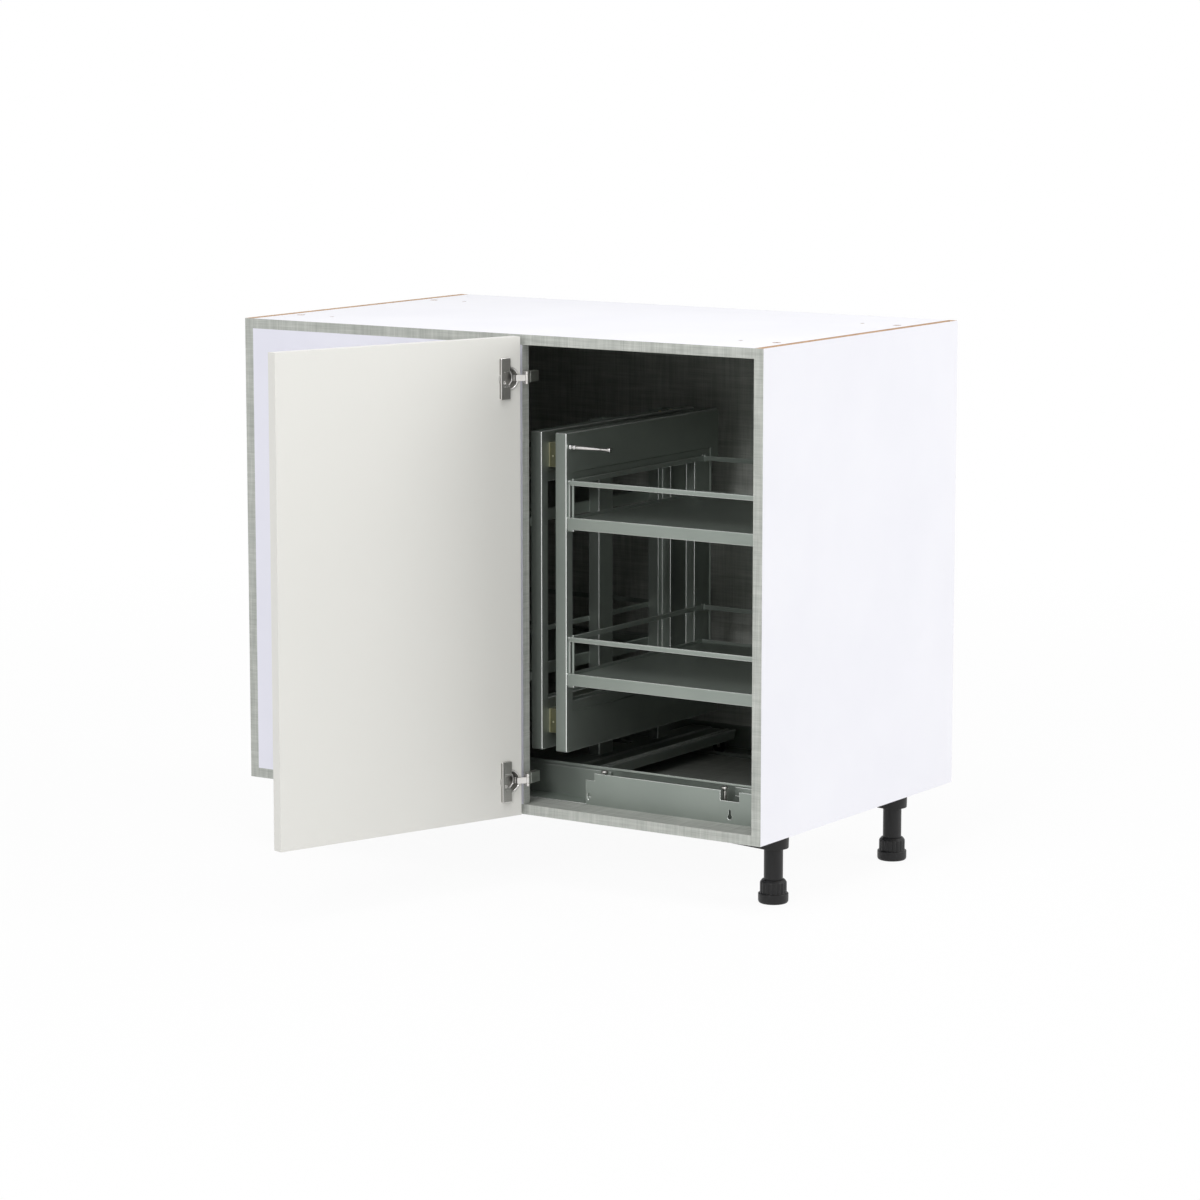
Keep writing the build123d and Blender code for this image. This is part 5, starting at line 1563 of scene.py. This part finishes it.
@dataclass
class Carriage:
    """The posts that carry the rear carriage frame, the beam under them, the slides and the small fixings."""

    paint: Material
    zinc: Material
    # The darker copy of the yellow zinc for the stop plates: painted shade.
    shaded_zinc: Material
    post_depth: float = 0.040
    post_corner: float = 0.0010
    sheet: float = 0.0015
    hook_edge: float = 0.0010
    slide_edge: float = 0.0003
    beam_skirt: float = 0.016
    beam_roof: float = 0.0042
    beam_across: tuple[float, ...] = (0.0, 0.0, 0.0035, 0.0050, 0.0125, 0.0140, 0.0205, 0.0220, 0.0480, 0.0500)
    beam_drop: tuple[float, ...] = (0.016, 0.0, 0.0, 0.0024, 0.0024, 0.0, 0.0, 0.0020, 0.0020, 0.0)
    beam_end: float = 0.1
    beam_slant: float = 0.45
    stop_half: float = 0.0189
    stop_across: Pair = (0.0019, 0.0001)
    stop_sheet: float = 0.0009
    stop_rim: float = 0.0003
    stop_gap: float = 0.00005
    stop_rivet: Pair = (0.430, -0.002)
    stop_rivet_profile: tuple[Pair, ...] = ((0.0016, 0.0), (0.0015, 0.0005), (0.0008, 0.0008), (0.0, 0.0008))
    lip_across: Pair = (0.0004, 0.0024)
    lip_depth: Pair = (-0.0024, 0.0005)
    lip_half: float = 0.0191
    dome_profile: tuple[Pair, ...] = ((0.0024, 0.0), (0.0022, 0.0008), (0.0013, 0.0014), (0.0, 0.0015))
    rivet_drops: Pair = (0.028, 0.0455)
    lid_reaches: Pair = (0.352, 0.385)
    rivet_insets: Pair = (0.0032, 0.0060)
    rivet_sink: float = 0.0001

    def build(self) -> None:
        """Draws the posts as hollow sections, rolls the beam's and slides' edges, and sets the rivets."""
        self.posts()
        self.beam()
        hooks = rolled_copy("rear_tray_hooks", self.hook_edge)
        dress(hooks, self.paint, "carcass", "mechanism_paint", "rear_tray_hooks")
        for member, body in {"outer": "carcass", "middle": "slide_middles", "inner": "pullout"}.items():
            for level in LEVELS:
                node = f"slide_{member}_{level}"
                dress(rolled_copy(node, self.slide_edge), self.zinc, body, "slide_zinc", node)
        for level in LEVELS:
            self.stop(level)
        self.rivets()

    def posts(self) -> None:
        """Two upright tubes of rectangular section, open inside."""
        box = Span.of("carriage_posts")
        tube = [(0.0, box.bottom), (0.0, box.top), (-self.sheet, box.top), (-self.sheet, box.bottom)]
        plans = [
            Outline.rounded((box.left, box.right), (front, front + self.post_depth), self.post_corner)
            for front in (box.front, box.rear - self.post_depth)
        ]
        shape = Surface.joined(*(Surface.stacked(plan, tube, capped=False) for plan in plans))
        piece = shape.piece("carriage_posts_drawn", SHEET_CREASE)
        dress(piece, self.paint, "carcass", "mechanism_paint", "carriage_posts")

    def beam(self) -> None:
        """The beam's section, a skirt with a rim, a groove and a bead, carried back to a slanting end."""
        box, wall = Span.of("carriage_beam"), self.sheet
        right, left, top = box.right, box.left, box.top
        low, roof = top - self.beam_skirt, top - self.beam_roof
        ridges = [(right - x, top - z) for x, z in zip(self.beam_across, self.beam_drop)]
        under = [(left + wall, low), (left + wall, roof), (right - wall, roof), (right - wall, low)]
        section = eased([*ridges, (left, top), (left, low), *under], radius=0.0011, closed=True, steps=3)[::-1]
        hull = Surface.bar(section, (box.front, box.rear)).stood()
        end = hull.points[:, 1] > box.rear - self.beam_end
        hull.points[:, 1] -= end * self.beam_slant * (top - hull.points[:, 2])
        piece = hull.piece("carriage_beam_pressed", SHEET_CREASE)
        dress(piece, self.paint, "carcass", "mechanism_paint", "carriage_beam")

    def stop(self, level: str) -> None:
        """The stop plate on the front end of a slide's inner member, its rivet, and the lip beside it."""
        box, left = Span.of(f"slide_inner_{level}"), Span.of(f"slide_outer_{level}").left
        middle, face = (box.bottom + box.top) / 2, box.front - self.stop_sheet
        across = (left + self.stop_across[0], box.right - self.stop_across[1])
        plan = Outline.rounded(across, (-self.stop_half, self.stop_half), radius=0.001)
        profile = eased([(0.0, -self.stop_sheet), (0.0, 0.0), (-self.stop_rim, 0.0)], radius=0.0002)
        plate = Surface.stacked(plan, profile).stood().reversed_depth()
        plate = plate.shifted(0.0, face - self.stop_gap, middle)
        # The stop plate wears the darker copy of the yellow zinc: painted shade.
        dress(plate.piece(f"slide_stop_{level}"), self.shaded_zinc, "pullout", "slide_zinc")
        dome = Surface.turned([(0.0, 0.0), *eased(self.stop_rivet_profile, radius=0.0004)], sides=20)
        head = dome.stood().reversed_depth()
        head = head.shifted(RIGHT_FACE - self.stop_rivet[0], face, middle + self.stop_rivet[1])
        lip_across, lip_depth = [left + x for x in self.lip_across], [box.front + y for y in self.lip_depth]
        height = (middle - self.lip_half, middle + self.lip_half)
        lip = Surface.block(lip_across, lip_depth, height, corner=0.0005, ease=0.0004)
        dress(Surface.joined(head, lip).piece(f"slide_stop_rivet_{level}"), self.zinc, "pullout", "slide_zinc")

    def rivets(self) -> None:
        """Domed rivet heads: each a profile of radius and rise, turned, on the frames' rear edges and top."""
        head = Surface.turned([(0.0, 0.0), *eased(self.dome_profile, radius=0.0008)], sides=20)
        upright, sink = head.stood(), self.rivet_sink
        side, lid = self.rivet_insets
        for node, body in (("pullout_frame", "pullout"), ("carriage_frame", "carcass")):
            box = Span.of(node)
            levels = [box.top - drop for drop in self.rivet_drops]
            levels += [box.bottom + drop for drop in self.rivet_drops]
            heads = [upright.shifted(box.right - side, box.rear - sink, level) for level in levels]
            if node == "carriage_frame":
                fronts = [box.front + reach for reach in self.lid_reaches]
                heads += [head.shifted(box.right - lid, front, box.top - sink) for front in fronts]
            dress(Surface.joined(*heads).piece(f"{node}_rivets", SHEET_CREASE), self.zinc, body, "slide_zinc")


@dataclass
class Carcass:
    """The chipboard box, whose solids stay, with its laminates, bands and fittings."""

    white: Melamine = Melamine()
    cool: Melamine = Melamine(colour=(0.79, 0.79, 0.875), cloud=(0.76, 0.76, 0.85))
    lining: Linen = Linen()
    # A darker copy of the same linen for the level inner faces of the top and bottom panels: painted shade.
    shaded_level_lining: Linen = Linen((0.235, 0.245, 0.227), (0.40, 0.412, 0.386), Lie.LEVEL)
    cast_zinc: Plate = Plate((0.55, 0.55, 0.54), (0.45, 0.44, 0.42), 0.4)
    bright_steel: Plate = Plate((0.6, 0.6, 0.6), (0.5, 0.5, 0.49), 0.3)

    def build(self) -> None:
        """Coats each board with its own skins, and the small fittings with theirs."""
        for node, (name, skins) in self.boards().items():
            coat(Board(skins).material(name), node)
        coat(self.lining.material("linen_band"), "edge_bands")
        coat(self.cast_zinc.material("cast_zinc"), "cam_locks")
        coat(self.bright_steel.material("bright_steel"), "cam_bolts", "socket_screws", "carriage_axles")
        coat(Beech().material("beech"), "dowels")

    def boards(self) -> dict[str, tuple[str, tuple[Skin, ...]]]:
        """Each board's material name, and its skins by the planes of its faces: white outside, linen inside."""
        found = {}
        for node, outer, inner in (("side_panel_right", RIGHT_FACE, RIGHT_FACE - BOARD),
                                   ("side_panel_left", BANDS.left, BANDS.left + BOARD)):
            found[node] = (f"{node}_board", (
                Skin(Axis.ACROSS, outer, self.white),
                Skin(Axis.ACROSS, inner, self.lining),
                Skin(Axis.BACK, CABINET.rear, self.white),
            ))
        top, bottom = Span.of("top_panel"), Span.of("bottom_panel")
        for node, outer, inner in (("top_panel", top.top, top.bottom),
                                   ("bottom_panel", bottom.bottom, bottom.top)):
            skins = (Skin(Axis.UP, outer, self.white), Skin(Axis.UP, inner, self.shaded_level_lining))
            found[node] = (f"{node}_board", skins)
        back, blind = Span.of("back_panel"), Span.of("blind_panel")
        found["back_panel"] = ("back_board", (
            Skin(Axis.BACK, back.front, self.lining), Skin(Axis.BACK, back.rear, self.white)))
        found["blind_panel"] = ("blind_board", (
            Skin(Axis.BACK, blind.front, self.cool), Skin(Axis.BACK, blind.rear, self.lining)))
        return found


class Softbox(NamedTuple):
    """A square soft light: its name, its place, the length of its side and its power in watts."""

    name: str
    place: Place
    side: float
    watts: float


@dataclass
class Studio:
    """The pale floor, the soft lights and the camera at the photograph's angle."""

    focal_px: float = 4000.57
    frame_px: float = 1200.0
    sensor: float = 36.0
    stand: Place = (3.11631, -5.10190, 1.42425)
    yaw: float = 33.7589
    pitch: float = 8.8340
    far_clip: float = 100.0
    floor_half: float = 40.0
    near_glow: float = 0.94
    glow_reach: Pair = (0.9, 3.5)
    sky_light: float = 0.55
    aim: Place = (0.0, 0.1, 0.5)
    softboxes: tuple[Softbox, ...] = (
        Softbox("softbox_above", (0.7, -1.3, 4.2), 2.0, 63.0),
        Softbox("softbox_front", (1.2, -4.9, 2.9), 1.3, 80.0),
        Softbox("softbox_right", (4.1, 1.6, 2.0), 2.4, 63.5),
    )

    def build(self) -> None:
        """Sets up the whole studio, with plain view settings."""
        self.floor()
        self.sky()
        for softbox in self.softboxes:
            self.lamp(softbox)
        self.camera()
        bpy.context.scene.view_settings.view_transform = "Standard"

    def camera(self) -> None:
        """A camera whose place is measured from the cabinet's right front corner on the floor."""
        lens = bpy.data.cameras.new("camera")
        lens.sensor_width = self.sensor
        lens.lens = self.focal_px / self.frame_px * self.sensor
        lens.clip_end = self.far_clip
        eye = linked("camera", lens)
        eye.location = (RIGHT_FACE + self.stand[0], FRONT_FACE + self.stand[1], self.stand[2])
        eye.rotation_euler = (radians(90 - self.pitch), 0.0, radians(self.yaw))
        bpy.context.scene.camera = eye

    def floor(self) -> None:
        """A level sheet whose white glow, for camera, glossy and transmission rays, grows away from the cabinet.

        The glow's share runs with the plan distance from the cabinet's middle: it is the near share up to the
        start of its reach, and 1 from the end of it, so that the sheet's end can't be told from the world.
        """
        reach = np.linspace(-self.floor_half, self.floor_half, 9)
        x, y = np.meshgrid(reach, reach, indexing="ij")
        sheet = Surface.grid(np.stack([x, y, np.zeros_like(x)], axis=-1)).piece("floor")
        graph = Graph("studio_floor")
        haze = graph.noise(0.8)
        colour = graph.ramp(haze, (0.3, (0.80, 0.80, 0.80)), (0.7, (0.82, 0.82, 0.82)))
        graph.close(Look(colour, graph.range(haze, (0.9, 0.95)), haze), (0.0001, 0.1))
        ray = graph.step("ShaderNodeLightPath").outputs
        seen = graph.maths("MAXIMUM", ray["Is Camera Ray"], ray["Is Glossy Ray"])
        seen = graph.maths("MAXIMUM", seen, ray["Is Transmission Ray"])
        away = graph.step("ShaderNodeVectorMath", {"operation": "LENGTH"}, Vector=graph.place).outputs["Value"]
        glow = graph.step("ShaderNodeEmission", Color=(1.0, 1.0, 1.0), Strength=1.0)
        share = graph.maths("MULTIPLY", seen, graph.range(away, (self.near_glow, 1.0), self.glow_reach))
        both = graph.step("ShaderNodeMixShader", Fac=share)
        graph.feed(both.inputs[1], graph.shader.outputs[0])
        graph.feed(both.inputs[2], glow.outputs[0])
        end = next(n for n in graph.tree.nodes if n.type == "OUTPUT_MATERIAL")
        graph.feed(end.inputs["Surface"], both.outputs[0])
        finished(sheet, graph.material)

    def sky(self) -> None:
        """A white world at full strength for camera, glossy and transmission rays, and softer as a light."""
        world = bpy.data.worlds.new("world")
        bpy.context.scene.world = world
        world.use_nodes = True
        nodes, links = world.node_tree.nodes, world.node_tree.links
        sky = nodes["Background"]
        sky.inputs["Color"].default_value = (1.0, 1.0, 1.0, 1.0)
        ray = nodes.new("ShaderNodeLightPath")
        level = nodes.new("ShaderNodeMapRange")
        level.inputs["To Min"].default_value = self.sky_light
        level.inputs["To Max"].default_value = 1.0
        seen = ray.outputs["Is Camera Ray"]
        for name in ("Is Glossy Ray", "Is Transmission Ray"):
            either = nodes.new("ShaderNodeMath")
            either.operation = "MAXIMUM"
            links.new(seen, either.inputs[0])
            links.new(ray.outputs[name], either.inputs[1])
            seen = either.outputs[0]
        links.new(seen, level.inputs["Value"])
        links.new(level.outputs[0], sky.inputs["Strength"])

    def lamp(self, softbox: Softbox) -> None:
        """Hangs a softbox in its place, turned to face the aim."""
        light = bpy.data.lights.new(softbox.name, "AREA")
        light.shape = "SQUARE"
        light.size = softbox.side
        light.energy = softbox.watts
        box = linked(softbox.name, light)
        ray = np.array(self.aim) - np.array(softbox.place)
        flat = float(np.hypot(ray[0], ray[1]))
        box.location = softbox.place
        box.rotation_euler = (float(np.arctan2(flat, -ray[2])), 0.0, float(np.arctan2(ray[1], ray[0])) - pi / 2)


def main() -> None:
    """Builds the studio and every sub-assembly in turn."""
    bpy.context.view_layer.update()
    Studio().build()
    Carcass().build()
    coat(Lacquer().material("satin_lacquer"), "door_panel")
    # The satin paint lays a painted highlight along every fold of the frames, trays, rails and beam.
    paint = SatinPaint().material("satin_paint")
    nickel = Plate((0.70, 0.685, 0.66), (0.62, 0.605, 0.58), 0.36).material("nickel")
    # A darker copy of the nickel for the arm's block behind the blind panel: painted shade.
    painted_shade_nickel = Plate((0.42, 0.43, 0.40), (0.35, 0.36, 0.335), 0.42).material("arm_block_painted_shade")
    # A darker copy of the nickel for the hinge cups, painted shade, with a near-white painted highlight along
    # their folds.
    satin = SatinPaint((0.36, 0.355, 0.335), (0.30, 0.296, 0.28), (0.86, 0.85, 0.83), 0.9, (0.28, 0.42))
    zinc = Plate((0.66, 0.64, 0.46), (0.56, 0.54, 0.38), 0.34).material("yellow_zinc")
    # A darker copy of the yellow zinc for the slide stop plates: painted shade.
    shaded_zinc = Plate((0.235, 0.23, 0.14), (0.19, 0.19, 0.12), 0.5).material("yellow_zinc_painted_shade")
    steel = Plate((0.80, 0.785, 0.78), (0.74, 0.73, 0.73), 0.24).material("satin_chrome")
    plastic = Moulded().material("black_plastic")
    pressed = satin.material("hinge_cup_painted_shade_and_highlights")
    coat(nickel, "cup_screws", "bracket_screws")
    coat(plastic, "carriage_wheels")
    for corner in ("front_right", "rear_right", "front_left", "rear_left"):
        LevellingLeg(corner, plastic).build()
    for level in LEVELS:
        ConcealedHinge(level, nickel, pressed, painted_shade_nickel).build()
        WireTray("front", level, "pullout", paint).build()
        WireTray("rear", level, "carcass", paint).build()
    PressedFrame("pullout_frame", "pullout", paint).build()
    PressedFrame("carriage_frame", "carcass", paint).build()
    PullHandle(steel).build()
    FloorRails(paint, nickel).build()
    Carriage(paint, zinc, shaded_zinc).build()


if __name__ == "__main__":
    main()
